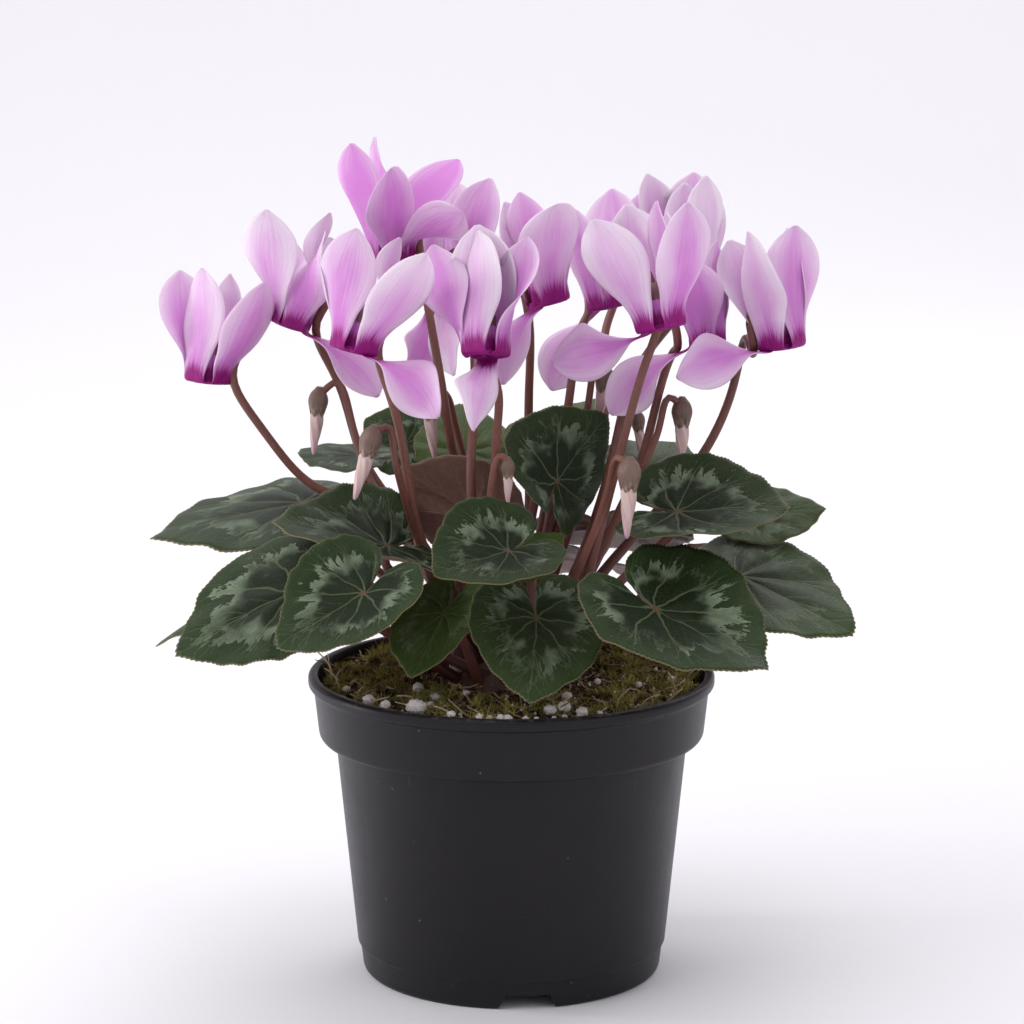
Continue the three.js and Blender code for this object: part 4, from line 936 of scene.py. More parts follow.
LEAF_MARGIN = ((0.014, 0.03, 0.009), (0.032, 0.054, 0.018))
LEAF_FRESH = ((0.022, 0.05, 0.005), (0.075, 0.12, 0.012))
LEAF_SILVER = ((0.12, 0.165, 0.11), (0.24, 0.3, 0.2))
LEAF_NET = (0.12, 0.15, 0.07)
LEAF_VEIN = (0.14, 0.17, 0.09)
LEAF_HUB = (0.13, 0.05, 0.03)
LEAF_EDGE = (0.2, 0.17, 0.09)
UNDER_ROSE = ((0.14, 0.075, 0.062), (0.26, 0.145, 0.12))
UNDER_VEIN = (0.3, 0.21, 0.15)
UNDER_NET = (0.14, 0.075, 0.055)
UNDER_EDGE = (0.26, 0.24, 0.12)
LILAC = ((0.85, 0.7, 0.84), (0.6, 0.22, 0.59))
LILAC_FOOT = (0.5, 0.1, 0.46)
MAGENTA = ((0.17, 0.003, 0.095), (0.36, 0.01, 0.23))
BUD_CREAM = ((0.55, 0.38, 0.35), (0.74, 0.6, 0.56))
BUD_BLUSH = (0.6, 0.34, 0.42)
BUD_FOLD = (0.5, 0.14, 0.27)
FLOOR_WHITE = ((0.73, 0.715, 0.75), (0.76, 0.745, 0.78))


# Finishes

def material(name, fill, **constants):
    """A procedural material. Fill returns what drives its shader, and constants are set on its sockets."""
    finish = bpy.data.materials.new(name)
    finish.use_nodes = True
    shader = finish.node_tree.nodes["Principled BSDF"]
    for key, value in constants.items():
        shader.inputs[key.replace("_", " ")].default_value = value
    for key, field in fill(Graph(finish.node_tree)).items():
        finish.node_tree.links.new(field.socket, shader.inputs[key])
    return finish


def pot_finish(graph):
    """Black plastic, with dust where it faces up, upright scuffs and a few pale flecks."""
    place = graph.place()
    streak_place = graph.vector_math("MULTIPLY", place, (1, 1, 0.08))
    upward = graph.split(graph.add("ShaderNodeNewGeometry", output=1))[2]
    dust = upward.step(0.35, 0.95) * graph.noise(place, 420, 4, 0.7).step(0.5, 0.72)
    scuffs = graph.noise(streak_place, 260, 3, 0.6).step(0.69, 0.76)
    flecks = graph.cells(place, 190).below(0.055) * graph.noise(place, 55, 1).step(0.56, 0.62)
    colour = graph.coats(
        graph.blend(graph.use(MOTTLE, Scale=18, Contrast=1.6), *PLASTIC),
        (dust * 0.55, PLASTIC_DUST), (scuffs * 0.16, PLASTIC_SCUFF), (flecks * 0.5, PLASTIC_FLECK),
    )
    rough = graph.use(MOTTLE, Scale=45, Contrast=1.3).between(0.34, 0.46)
    normal = graph.use(SKIN, Scale=2600, Grain=3.5e-5, Relief=graph.noise(streak_place, 70) * 0.00012)
    return {"Base Color": colour, "Roughness": rough, "Normal": normal}


def soil_finish(graph):
    patches = graph.use(MOTTLE, Scale=160, Contrast=2.2)
    normal = graph.use(SKIN, Scale=900, Grain=0.0012)
    return {"Base Color": graph.blend(patches, *PEAT), "Roughness": patches.between(0.8, 1), "Normal": normal}


def scatter_finish(colours, grain, grain_scale=2500):
    """A finish whose shade differs from bit to bit, as the attribute named bit says."""
    def fill(graph):
        bit = graph.add("ShaderNodeAttribute", output=2, attribute_name="bit")
        patches = graph.use(MOTTLE, Scale=300, Contrast=1.2)
        colour = graph.blend(bit * 0.7 + patches * 0.3, *colours)
        normal = graph.use(SKIN, Scale=grain_scale, Grain=grain)
        return {"Base Color": colour, "Roughness": patches.between(0.75, 0.98), "Normal": normal}
    return fill


def stalk_finish(graph):
    """Streaky red stalks, darker at the foot, and brown sepals with pale streaks at their tips."""
    along, tone, sepal = graph.split("stem")
    streaks = graph.noise(graph.vector_math("MULTIPLY", graph.place(), (1, 1, 0.06)), 2200)
    patches = graph.use(MOTTLE, Scale=120, Contrast=1.4)
    shade = streaks * 0.35 + patches * 0.3 + tone * 0.35
    red = graph.blend(along.fade(0, 0.35) * 0.45, graph.blend(shade, *STALK_RED), STALK_FOOT)
    pale_tips = along.step(0.62, 0.98) * streaks.step(0.42, 0.58)
    brown = graph.blend(pale_tips * 0.55, graph.blend(shade, *SEPAL_BROWN), SEPAL_TIP)
    normal = graph.use(SKIN, Scale=3500, Grain=6e-5, Relief=streaks * 0.00012)
    rough = patches.between(0.38, 0.55)
    return {"Base Color": graph.blend(sepal, red, brown), "Roughness": rough, "Normal": normal}


def leaf_finish(graph):
    """A dark green blade with a silver marking and pale veins above, and rosy brown below."""
    x, y, share = graph.split("blade")
    silver_amount, fresh, under = graph.split("marks")
    seed = graph.split("own")[0]
    place = graph.vector(x, y, seed)
    warp = graph.add("ShaderNodeTexNoise", {"Vector": place, "Scale": 4.5, "Detail": 2}, output=1)
    warp = graph.vector_math("SUBTRACT", warp, (0.5, 0.5, 0.5))
    warp = graph.vector_math("MULTIPLY", warp, (0.09, 0.09, 0.09))
    bent = graph.split(graph.vector_math("ADD", warp, place))
    bent = {"X": bent[0], "Y": bent[1], "Share": share}
    veins, reach, near = graph.outputs("ShaderNodeGroup", bent, node_tree=VEINS)
    silver = graph.use(SILVER, **bent, Reach=reach, Near=near, Seed=seed) * silver_amount
    net = graph.cells(place, 26, "DISTANCE_TO_EDGE").fade(0, 0.07)
    patchy = graph.noise(place, 16, 3, 0.6)
    edge = share.step(0.98, 0.996)
    centre, margin = graph.blend(patchy, *LEAF_CENTRE), graph.blend(patchy, *LEAF_MARGIN)
    green = graph.coats(
        graph.blend(share.step(0.45, 1), centre, margin), (fresh, graph.blend(patchy, *LEAF_FRESH)),
        (silver, graph.blend(patchy, *LEAF_SILVER)), (net * 0.07, LEAF_NET), (veins * 0.5, LEAF_VEIN),
        (reach.fade(0.01, 0.05) * 0.7, LEAF_HUB), (edge * 0.6, LEAF_EDGE),
    )
    rosy = graph.coats(
        graph.blend(patchy, *UNDER_ROSE), (veins * 0.6, UNDER_VEIN), (net * 0.3, UNDER_NET),
        (edge * 0.6, UNDER_EDGE),
    )
    rough = (patchy * 0.5 + silver * 0.5).between(0.42, 0.58)
    sunken = veins * -0.00012 + net * -0.00005
    normal = graph.use(SKIN, Scale=2400, Grain=6e-5, Relief=sunken)
    return {"Base Color": graph.blend(under, green, rosy), "Roughness": rough, "Normal": normal}


def petal_finish(graph):
    """A lilac petal, deepest along its middle, with a feathered magenta foot, longest in the middle."""
    across, along, seed = graph.split("petal")
    depth, pale, _ = graph.split("tint")
    edge = abs(across)
    streaks = graph.noise(graph.vector(across * 7, along * 1.1, seed * 9), 1.6, 3, 0.6)
    uneven = streaks - 0.5
    broad = graph.noise(graph.vector(across, along * 2, seed), 1.4, 1)
    middle = edge.fade(0.1, 1) * (1 - along.step(0.62, 1.05) * 0.55)
    flush = middle * 0.55 + along.fade(0.15, 0.8) * 0.25 + 0.2 + uneven * 0.4 + (broad - 0.5) * 0.5
    flush = (flush + (depth - pale)).larger(0).smaller(1)
    past_foot = along - (0.15 + (1 - edge * edge) * 0.06 + uneven * 0.2)
    colour = graph.coats(
        graph.blend(flush, *LILAC), (past_foot.fade(0, 0.14) * 0.5, LILAC_FOOT),
        (past_foot.fade(-0.045, 0.05), graph.blend(streaks, *MAGENTA)),
    )
    normal = graph.use(SKIN, Scale=3000, Grain=4e-5, Relief=streaks * 0.0003)
    return {"Base Color": colour, "Roughness": broad.between(0.48, 0.62), "Normal": normal}


def bud_finish(graph):
    """Furled cream petals with rosy folds, blushing towards the point."""
    across, along, seed = graph.split("petal")
    turn = across + along * 0.29
    streaks = graph.noise(graph.vector(turn * 9, along, seed), 1.5)
    fold = graph.math("PINGPONG", turn * 5, 0.5)
    colour = graph.coats(
        graph.blend(streaks, *BUD_CREAM), (along.step(0.45, 1) * 0.7, BUD_BLUSH),
        (fold.fade(0, 0.12) * 0.4, BUD_FOLD),
    )
    normal = graph.use(SKIN, Scale=3000, Grain=4e-5, Relief=streaks * 0.0002)
    return {"Base Color": colour, "Roughness": streaks.between(0.42, 0.55), "Normal": normal}


def floor_finish(graph):
    patches = graph.use(MOTTLE, Scale=0.6, Contrast=0.5)
    return {"Base Color": graph.blend(patches, *FLOOR_WHITE), "Roughness": patches.between(0.85, 0.95)}


POT = material("moulded_plastic", pot_finish, Specular_IOR_Level=0.24)
SOIL = material("peat", soil_finish, Specular_IOR_Level=0.2)
STALK = material("stalk_skin", stalk_finish)
LEAF = material("leaf_skin", leaf_finish, Specular_IOR_Level=0.13)
PETAL = material(
    "petal_skin", petal_finish, Specular_IOR_Level=0.22, Subsurface_Weight=0.3, Subsurface_Scale=0.003,
    Subsurface_Radius=(1, 0.6, 0.95),
)
BUD = material("bud_skin", bud_finish, Subsurface_Weight=0.15, Subsurface_Scale=0.002)
MOSS = material("moss", scatter_finish(MOSS_GREEN, 0.0002), Specular_IOR_Level=0.25)
CRUMB = material("peat_crumb", scatter_finish(CRUMB_BROWN, 0.0006), Specular_IOR_Level=0.2)
FIBRE = material("fibre", scatter_finish(FIBRE_TAN, 0.0001), Specular_IOR_Level=0.3)
PERLITE = material("perlite", scatter_finish(PERLITE_WHITE, 0.0005, 1800), Specular_IOR_Level=0.3)
FLOOR = material("studio_floor", floor_finish)


# Pot

def notch_cutter(azimuth):
    """A wedge through the foot of the pot, wider at the floor."""
    out = point((math.cos(azimuth), math.sin(azimuth), 0))
    side = point((-math.sin(azimuth), math.cos(azimuth), 0))
    half, top = NOTCH_WIDTH / 2, CHANNEL_HEIGHT - 0.2
    corners = ((-half - NOTCH_FLARE, -1), (half + NOTCH_FLARE, -1), (half, top), (-half, top))
    reaches = (CHANNEL_OUTER_RADIUS - 2, CHANNEL_OUTER_RADIUS + 10)
    return loft(np.array([[out * reach + side * a + (0, 0, b) for a, b in corners] for reach in reaches]))


def drain_cutter(azimuth):
    """A round peg through the floor of the pot."""
    centre = point((DRAIN_CIRCLE * math.cos(azimuth), DRAIN_CIRCLE * math.sin(azimuth), 0))
    heights, axes = np.array([[-2.0], [10.0]]), np.eye(3)
    return loft(rings_along(centre, axes, heights, np.full((2, 1), float(DRAIN_RADIUS)), DRAIN_SIDES))


def make_pot():
    """The pot, turned with small roundings, cut by its notches and drain holes, with worn edges."""
    floor_top = CHANNEL_HEIGHT + POT_WALL
    collar_base = POT_HEIGHT - COLLAR_HEIGHT
    profile = [
        (0, 0), (CHANNEL_INNER_RADIUS - CHANNEL_INNER_SLOPE, 0), (CHANNEL_INNER_RADIUS, CHANNEL_HEIGHT),
        (CHANNEL_OUTER_RADIUS, CHANNEL_HEIGHT), (CHANNEL_OUTER_RADIUS + CHANNEL_OUTER_SLOPE, 0),
        (FOOT_RADIUS - 2 * POT_EASE, 0), (FOOT_RADIUS, 1),
        (FOOT_RADIUS + FOOT_BAND_FLARE, FOOT_BAND_HEIGHT - POT_EASE), (BODY_FOOT_RADIUS, FOOT_BAND_HEIGHT),
        (BODY_TOP_RADIUS, collar_base), (COLLAR_FOOT_RADIUS - 2 * POT_EASE, collar_base),
        (COLLAR_FOOT_RADIUS, collar_base + 3 * POT_EASE),
        (COLLAR_TOP_RADIUS, POT_HEIGHT - LIP_DEPTH - 2 * POT_EASE), (LIP_RADIUS, POT_HEIGHT - LIP_DEPTH),
        (LIP_RADIUS, POT_HEIGHT - 2 * POT_EASE), (LIP_RADIUS - 2 * POT_EASE, POT_HEIGHT),
        (COLLAR_TOP_RADIUS - POT_WALL + POT_EASE, POT_HEIGHT),
        (COLLAR_FOOT_RADIUS - POT_WALL, collar_base + POT_WALL + POT_EASE),
        (BODY_TOP_RADIUS - POT_WALL, collar_base + POT_WALL), (BODY_FOOT_RADIUS - POT_WALL, FOOT_BAND_HEIGHT),
        (BODY_FOOT_RADIUS - POT_WALL - FLOOR_FILLET, floor_top), (CHANNEL_INNER_RADIUS - POT_WALL, floor_top),
        (CHANNEL_INNER_RADIUS - POT_WALL - CHANNEL_INNER_SLOPE, POT_WALL), (0, POT_WALL),
    ]
    pot = joined("pot_moulding", [(*turned(rounded(profile, POT_ROUNDING), POT_SIDES), {})])
    cutters = [notch_cutter(math.radians(NOTCH_AZIMUTH + 360 * i / NOTCH_COUNT)) for i in range(NOTCH_COUNT)]
    cutters += [drain_cutter(math.radians(360 * (i + 0.5) / DRAIN_COUNT)) for i in range(DRAIN_COUNT)]
    cutter = joined("cutter", cutters)
    cut = pot.modifiers.new("cut", "BOOLEAN")
    cut.operation = "DIFFERENCE"
    cut.solver = "EXACT"
    cut.object = cutter
    apply_modifiers(pot)
    bpy.data.objects.remove(cutter)
    edges = pot.modifiers.new("edges", "BEVEL")
    edges.width = WORN_EDGE * MM
    edges.limit_method = "ANGLE"
    edges.segments = 2
    apply_modifiers(pot)
    dress(pot, POT, "pot", ["pot"])


# Soil

def soil_height(x, y):
    r = np.hypot(x, y) / (COLLAR_FOOT_RADIUS - POT_WALL)
    bumps = np.sin(0.31 * x + 1.3) * np.cos(0.27 * y - 0.4) + 0.6 * np.sin(0.52 * x - 0.47 * y)
    return SOIL_EDGE_HEIGHT + SOIL_CROWN_RISE * (1 - r * r) + SOIL_BUMP * bumps * (1 - r**6)


def lumps(x, y, size):
    """Small irregular lumps of a surface, from sums of slanted waves."""
    total = 0
    for i in range(LUMP_WAVES):
        turn = 2.4 * i + 0.7
        along = (x * math.cos(turn) + y * math.sin(turn)) * (0.8 + 0.17 * i) * 6.3 / size
        total = total + np.sin(along + 1.7 * i)
    return total / LUMP_WAVES


def moss_cover(x, y):
    """How much moss grows at a place: cushions at the front and round the rim, none under the crown."""
    r = np.hypot(x, y)
    patches = lumps(x + 3, y - 5, 17) + 0.5 * lumps(x, y, 8)
    return np.clip(ease((r - MOSS_FREE_RADIUS) / MOSS_FADE) * (0.4 + 2.6 * patches), 0, 1)


def make_soil():
    """The peat that fills the pot, closed below, with a lumpy surface and a dip round the tuber."""
    angle = full_turn(SOIL_SIDES)
    reach = SOIL_RADIUS * np.linspace(0, 1, SOIL_RINGS) ** 0.8
    x, y = reach[:, None] * np.cos(angle), reach[:, None] * np.sin(angle)
    rough = sum(height * lumps(x, y, size) for height, size in SOIL_LUMPS)
    rough = rough + MOSS_SWELL * np.maximum(moss_cover(x, y) - 0.4, 0)
    z = soil_height(x, y) + rough * ease((SOIL_RADIUS - reach[:, None]) / 2)
    dip = SOIL_DIP * ease((SOIL_DIP_RADIUS - reach[:, None]) / SOIL_DIP_FADE)
    z = np.maximum(z - dip, TUBER_CENTRE_HEIGHT - 2)
    gap = POT_WALL + CLEARANCE
    collar_base = POT_HEIGHT - COLLAR_HEIGHT + gap
    walls = (
        (SOIL_RADIUS - 0.4, collar_base + 0.4), (BODY_TOP_RADIUS - gap, collar_base),
        (BODY_FOOT_RADIUS - gap - 1, CHANNEL_HEIGHT + gap), (0.01, CHANNEL_HEIGHT + gap),
    )
    below = [
        np.stack([radius * np.cos(angle), radius * np.sin(angle), np.full(SOIL_SIDES, float(height))], -1)
        for radius, height in walls
    ]
    body = loft(np.concatenate([np.stack([x, y, z], -1), np.array(below)]))
    soil = make_piece("peat_surface", [body], SOIL, "soil", ["soil"])
    place = np.array([v.co for v in soil.data.vertices]) / MM
    faces_up = np.array([v.normal for v in soil.data.vertices])[:, 2] > 0.3
    r = np.hypot(place[:, 0], place[:, 1])
    top = (place[:, 2] > SOIL_EDGE_HEIGHT - 6) & faces_up & (r < SOIL_RADIUS - 1)
    mark(soil.data, "moss_cover", moss_cover(place[:, 0], place[:, 1]) * top)
    mark(soil.data, "bare_cover", top & (r > LITTER_FREE_RADIUS))
    return soil


def spray(count, length, width, spread, seed):
    """A tuft of thin curved spikes from one point, each a closed three-sided body."""
    chance = np.random.default_rng(seed)
    lines = []
    for _ in range(count):
        lean = spread * chance.random() ** 0.6
        turn = 2 * math.pi * chance.random()
        out = point((math.cos(turn), math.sin(turn), 0))
        rise = length * (0.6 + 0.5 * chance.random())
        t = np.linspace(0, 1, 3)[:, None]
        path = rise * (t * math.cos(lean) * point((0, 0, 1)) + (t + 0.5 * t * t) * math.sin(lean) * out)
        lines.append((path, width / 2 * (1.05 - t[:, 0]), 0))
    return tubes(lines, 3, MOSS)


def pebble(seed, squash=(1, 0.8, 0.7), detail=1):
    """A lumpy grain about 2 mm across."""
    work = bmesh.new()
    bmesh.ops.create_icosphere(work, subdivisions=detail, radius=1)
    chance = np.random.default_rng(seed)
    for vert in work.verts:
        vert.co *= 0.8 + 0.4 * chance.random()
    points = np.array([v.co for v in work.verts]) * squash
    work.verts.index_update()
    faces = [[v.index for v in face.verts] for face in work.faces]
    work.free()
    return points, faces, {}


def strand(length, width, bow, seed):
    """A short bent fibre, lying along X."""
    chance = np.random.default_rng(seed)
    t = np.linspace(-0.5, 0.5, 6)
    side = chance.choice([-1, 1])
    path = np.stack([t * length, bow * (0.25 - t * t) * 4 * side, 0.25 * bow * np.sin(9 * t)], -1)
    return tubes([(path, width / 2 * (1 - 1.4 * t**2), 0)], 4, FIBRE)


def make_litter(soil):
    """Moss, peat crumbs, fibres and perlite over the soil."""
    def spread(name, part, finish, cover, **how):
        scatter(name, soil, new_object(name + "_bit", *part[:2]), finish, cover, **how)

    spread("moss_tufts", spray(8, 2.6, 0.42, 1.15, 3), MOSS, "moss_cover",
           density=4.8e5, sizes=(0.55, 1.25), tilt=0.35, lift=-0.3, seed=5)
    spread("moss_shoots", spray(5, 4.6, 0.4, 0.55, 9), MOSS, "moss_cover",
           density=6e4, sizes=(0.6, 1.3), tilt=0.5, lift=-0.3, seed=6)
    spread("peat_crumbs", pebble(4), CRUMB, "bare_cover",
           density=1.6e5, sizes=(0.3, 1.25), tilt=3.0, lift=0.1, seed=7)
    spread("peat_fibres", strand(7, 0.45, 0.9, 5), FIBRE, "bare_cover",
           density=5.5e4, sizes=(0.4, 1.5), tilt=0.55, lift=0.5, seed=8)
    spread("perlite_dust", pebble(8, (1, 0.85, 0.8), 2), PERLITE, "bare_cover",
           density=2e4, sizes=(0.22, 0.7), tilt=3.0, lift=0.6, seed=12)


def make_grains():
    """The larger perlite grains, half sunk in the soil."""
    parts = []
    for i, (x, y, size) in enumerate(PERLITE_GRAINS):
        points, faces, _ = pebble(20 + i, (1, 0.82, 0.75), 3)
        cosine, sine = math.cos(1.7 * i), math.sin(1.7 * i)
        spin = np.array([[cosine, -sine, 0], [sine, cosine, 0], [0, 0, 1]])
        centre = (x, y, soil_height(x, y) + GRAIN_LIFT + GRAIN_LIFT_SHARE * size)
        parts.append((points @ spin * size * GRAIN_RADIUS_SHARE + centre, faces, {}))
    grains = make_piece("perlite_grains", parts, PERLITE, "soil")
    mark(grains.data, "bit", np.full(len(grains.data.vertices), GRAIN_SHADE))


def make_straws():
    """Bits of straw that stand up at the rim, every other one forked."""
    chance = np.random.default_rng(4)
    lines = []
    for i, (x, y, lean_x, lean_y, height) in enumerate(STRAWS):
        foot = point((x, y, soil_height(x, y) - 0.5))
        bend = (0.3 * lean_x + 1.2 * math.sin(i), 0.3 * lean_y + 1.2 * math.cos(2 * i), 0.55 * height)
        middle, end = foot + bend, foot + (lean_x, lean_y, height)
        tone = 0.3 + 0.6 * chance.random()
        stem = smooth_path([foot, middle, end], STRAW_STEPS)
        lines.append((stem, np.linspace(*STRAW_RADII, STRAW_STEPS), tone))
        if i % 2 == 0:
            side = middle + (1.5 * math.cos(i), 1.5 * math.sin(i), 0.3 * height)
            fork = smooth_path([middle, (middle + side) / 2, side], STRAW_FORK_STEPS)
            lines.append((fork, np.linspace(*STRAW_FORK_RADII, STRAW_FORK_STEPS), tone))
    straws = make_piece("straw_bits", [tubes(lines, STRAW_SIDES, FIBRE)], FIBRE, "soil")
    mark(straws.data, "bit", [value.vector[1] for value in straws.data.attributes["stem"].data])


# Leaves

def leaf_axes(leaf):
    """The blade's length, the way to its tip, its upper side's normal and the way to its left."""
    forward = point(leaf["tip"]) - point(leaf["stalk"])
    reach = np.linalg.norm(forward)
    forward /= reach
    face = point(leaf["face"])
    normal = unit(face - forward * face.dot(forward))
    return reach, forward, normal, np.cross(normal, forward)


def vein_pull(x, y):
    """How near a place of the blade is to a vein, and how far between two veins it lies, each from 0 to 1."""
    reach = np.hypot(x, y)
    turns = np.arctan2(y, x) / (1 - VEIN_CURVE * reach) / VEIN_PERIOD
    offset = np.abs(turns - np.round(turns)) * VEIN_PERIOD
    fork = np.maximum(reach - VEIN_FORK, 0) * VEIN_FORK_SPREAD
    trunk = np.exp(-((offset * reach / VEIN_GROOVE) ** 2))
    branch = np.exp(-((np.abs(offset - fork) * reach / VEIN_GROOVE) ** 2)) * (reach > VEIN_FORK)
    return np.maximum(trunk, 0.7 * branch), 2 * offset / VEIN_PERIOD


def waves(angle, seed, table):
    """The rise round a blade from a table of waves."""
    return sum(height * np.sin(count * angle + shift * seed) for height, count, shift in table)


def leaf_blade(leaf, seed):
    """The blade: an arched heart split at its sinus, quilted between its veins, with a toothed, wavy edge."""
    reach, forward, normal, left = leaf_axes(leaf)
    degrees = SINUS_ANGLE * np.linspace(-1, 1, BLADE_RAYS + 1)[None]
    angle = np.radians(degrees)
    share = (np.linspace(0, 1, BLADE_RINGS) ** 0.85)[:, None]
    teeth = np.where(np.arange(BLADE_RAYS + 1) % 2, 1 - TOOTH_DEPTH, 1)[None]
    uneven = waves(angle, seed, OUTLINE_WAVES)
    edge = along_table(HEART, np.abs(degrees)) * (1 + uneven * ease((SINUS_ANGLE - np.abs(degrees)) / 20))
    extent = share * edge * np.where(share > 0.99, teeth, 1)
    bent = np.radians(degrees + leaf["turn"] * np.sin(angle / 2) ** 2)
    flat_x, flat_y = extent * np.cos(angle), extent * np.sin(angle)
    x, y = extent * np.cos(bent), extent * np.sin(bent) * leaf["broad"]
    hang = np.where(y > 0, leaf["hang"][0], leaf["hang"][1])
    fall = leaf["bow"] * np.maximum(x, 0) ** 2 + leaf["lobes"] * np.maximum(-x, 0) ** 2
    pull, sector = vein_pull(flat_x, flat_y)
    quilt = QUILT_HEIGHT * ease(sector) * share * (1 - share)
    sunken = VEIN_DEPTH * pull * (1 - share**3) * ease(share * 8)
    wave = share**4 * waves(angle, seed, EDGE_WAVES)
    height = BLADE_DISH * np.hypot(x, y) - fall - hang * y * y + (quilt - sunken) + wave
    middle = point(leaf["stalk"]) + reach * (
        forward * x[..., None] + left * y[..., None] + normal * height[..., None]
    )
    thick = BLADE_EDGE_THICKNESS + (BLADE_THICKNESS - BLADE_EDGE_THICKNESS) * (1 - share**2)
    half = normal * (thick / 2 * np.ones_like(x))[..., None]
    ribs = normal * (RIB_HEIGHT * pull * (1 - share) * ease(share * 5))[..., None]
    blade = np.stack([flat_x, flat_y, np.broadcast_to(share, x.shape)], -1)
    marks = np.broadcast_to([leaf["silver"], leaf["fresh"], 0.0], blade.shape)
    own = np.broadcast_to([seed * 3.7, 0, 0], blade.shape)
    above = {"blade": blade, "marks": marks, "own": own}
    return shell(middle + half, middle - half - ribs, above, {**above, "marks": marks + (0, 0, 1)})


def make_leaves():
    for i, leaf in enumerate(LEAVES):
        make_piece(leaf["name"] + "_blade", [leaf_blade(leaf, 1.3 * i + 0.4)], LEAF, "leaf", [leaf["name"]])


# Blooms

def bloom_axes(bloom):
    """The way out of the bloom's top, and two ways across it."""
    right, back = (math.tan(math.radians(a)) for a in bloom["lean"])
    up = unit(point((right, back, 1)))
    x = unit(point((1, 0, 0)) - up * up[0])
    return up, x, np.cross(up, x)


def outwards(axes, azimuth):
    """The way out from a bloom's axis at an azimuth."""
    a = math.radians(azimuth)
    return axes[1] * math.cos(a) + axes[2] * math.sin(a)


def petal_blade(bloom, shape, seed):
    """A petal: out over the lip of the throat, folded up, cupped, twisted, and ruffled at its edge."""
    azimuth, lift, twist, size, curl = shape
    axes = bloom_axes(bloom)
    up, out = axes[0], outwards(axes, azimuth)
    side = np.cross(up, out)
    s = np.linspace(0, 1, PETAL_STEPS * PETAL_FINE_STEPS + 1)
    risen = lift + curl * (2 * s - 1)
    if lift > 0:
        spread = ease((s - PETAL_FOOT_SHARE) / PETAL_SPREAD_SHARE)
        risen = PETAL_FOOT_LIFT + (risen - PETAL_FOOT_LIFT) * spread
    tilt = np.radians(PETAL_START_TILT + (risen - PETAL_START_TILT) * ease(s / PETAL_BEND_SHARE))
    along = out * np.cos(tilt)[:, None] + up * np.sin(tilt)[:, None]
    walk = np.concatenate([np.zeros((1, 3)), np.cumsum(along[:-1], axis=0)]) * size * PETAL_LENGTH / len(s)
    centre = point(bloom["mouth"]) + out * (MOUTH_RADIUS - PETAL_INSET) + up + walk
    s, along, centre = (values[::PETAL_FINE_STEPS] for values in (s, along, centre))
    face = np.cross(side, along)
    turn = (math.radians(twist) * ease((s - 0.1) / 0.8))[:, None]
    across = side * np.cos(turn) + face * np.sin(turn)
    face = np.cross(across, along)
    half = (0.5 * size * PETAL_WIDTH * along_table(PETAL_OUTLINE, s))[:, None]
    u = np.linspace(-1, 1, PETAL_COLUMNS + 1)[None]
    s = s[:, None]
    cup = PETAL_CUP * half * ease(3 * s) * u**2
    ruffle = PETAL_RUFFLE * np.abs(u) ** 3 * ease((s - 0.25) * 3) * np.sin(11 * s + 3 * np.sign(u) + seed)
    pleats = PETAL_PLEAT * np.sin(u * 9 + seed) * ease((s - 0.1) * 5) * (1 - 0.6 * s)
    crease = PETAL_CREASE * np.exp(-((u / 0.16) ** 2)) * ease(s * 6) * (1 - s)
    lip = PETAL_LIP * half * ease((s - 0.82) / 0.18) * (1 - u**2)
    nudge = (ruffle + pleats - crease - lip - cup)[..., None]
    middle = centre[:, None] + across[:, None] * (half * u)[..., None] + face[:, None] * nudge
    thick = PETAL_THICKNESS * (1 - PETAL_TIP_THINNING * s) * (1 - PETAL_EDGE_THINNING * u**2)
    offset = face[:, None] * (thick / 2)[..., None]
    petal = np.stack(np.broadcast_arrays(u, s, float(seed)), -1)
    tint = np.broadcast_to([bloom["depth"] + 0.22 * math.sin(5 * seed), bloom["pale"], 0.0], petal.shape)
    both = {"petal": petal, "tint": tint}
    return shell(middle + offset, middle - offset, both, both)


def bloom_throat(bloom):
    """The short tube above the mouth, open below and closed by the calyx."""
    axes = bloom_axes(bloom)
    profile = rounded(THROAT, THROAT_ROUNDING, 3)
    points, faces = turned(profile, THROAT_SIDES, lambda a, z: 1 + 0.035 * np.cos(5 * a + 1))
    basis = np.array([axes[1], axes[2], axes[0]])
    height = np.clip(points[:, 2] / TUBE_HEIGHT, 0, 1)
    bearing = np.arctan2(points[:, 1], points[:, 0])
    petal = np.stack([0.3 * np.sin(3 * bearing), 0.05 + 0.3 * height, 0 * height + 3], -1)
    tint = np.broadcast_to([bloom["depth"], bloom["pale"], 0.0], petal.shape)
    return points @ basis + point(bloom["mouth"]), faces, {"petal": petal, "tint": tint}


def bloom_pistil(bloom):
    """The style that just shows in the mouth."""
    up = bloom_axes(bloom)[0]
    foot = point(bloom["mouth"]) + up * (TUBE_HEIGHT - 1)
    end = point(bloom["mouth"]) - up * 0.6
    path = smooth_path([foot, end], len(PISTIL_RADII))
    points, faces, _ = tubes([(path, np.array(PISTIL_RADII), 0)], PISTIL_SIDES, PETAL)
    petal = np.tile([0.0, 0.05, 5.0], (len(points), 1))
    return points, faces, {"petal": petal, "tint": np.zeros((len(points), 3))}


def make_blooms():
    for i, bloom in enumerate(BLOOMS):
        parts = [petal_blade(bloom, shape, 0.9 * i + 1.7 * j) for j, shape in enumerate(bloom["petals"])]
        parts += [bloom_throat(bloom), bloom_pistil(bloom)]
        make_piece(bloom["name"] + "_corolla", parts, PETAL, "petal", [bloom["name"]])


# Buds

def bud_axes(bud):
    """Two ways across the bud, and the way that it points."""
    down = unit(point(bud["points"]))
    x = unit(np.cross((0, 1, 0), down))
    return x, np.cross(down, x), down


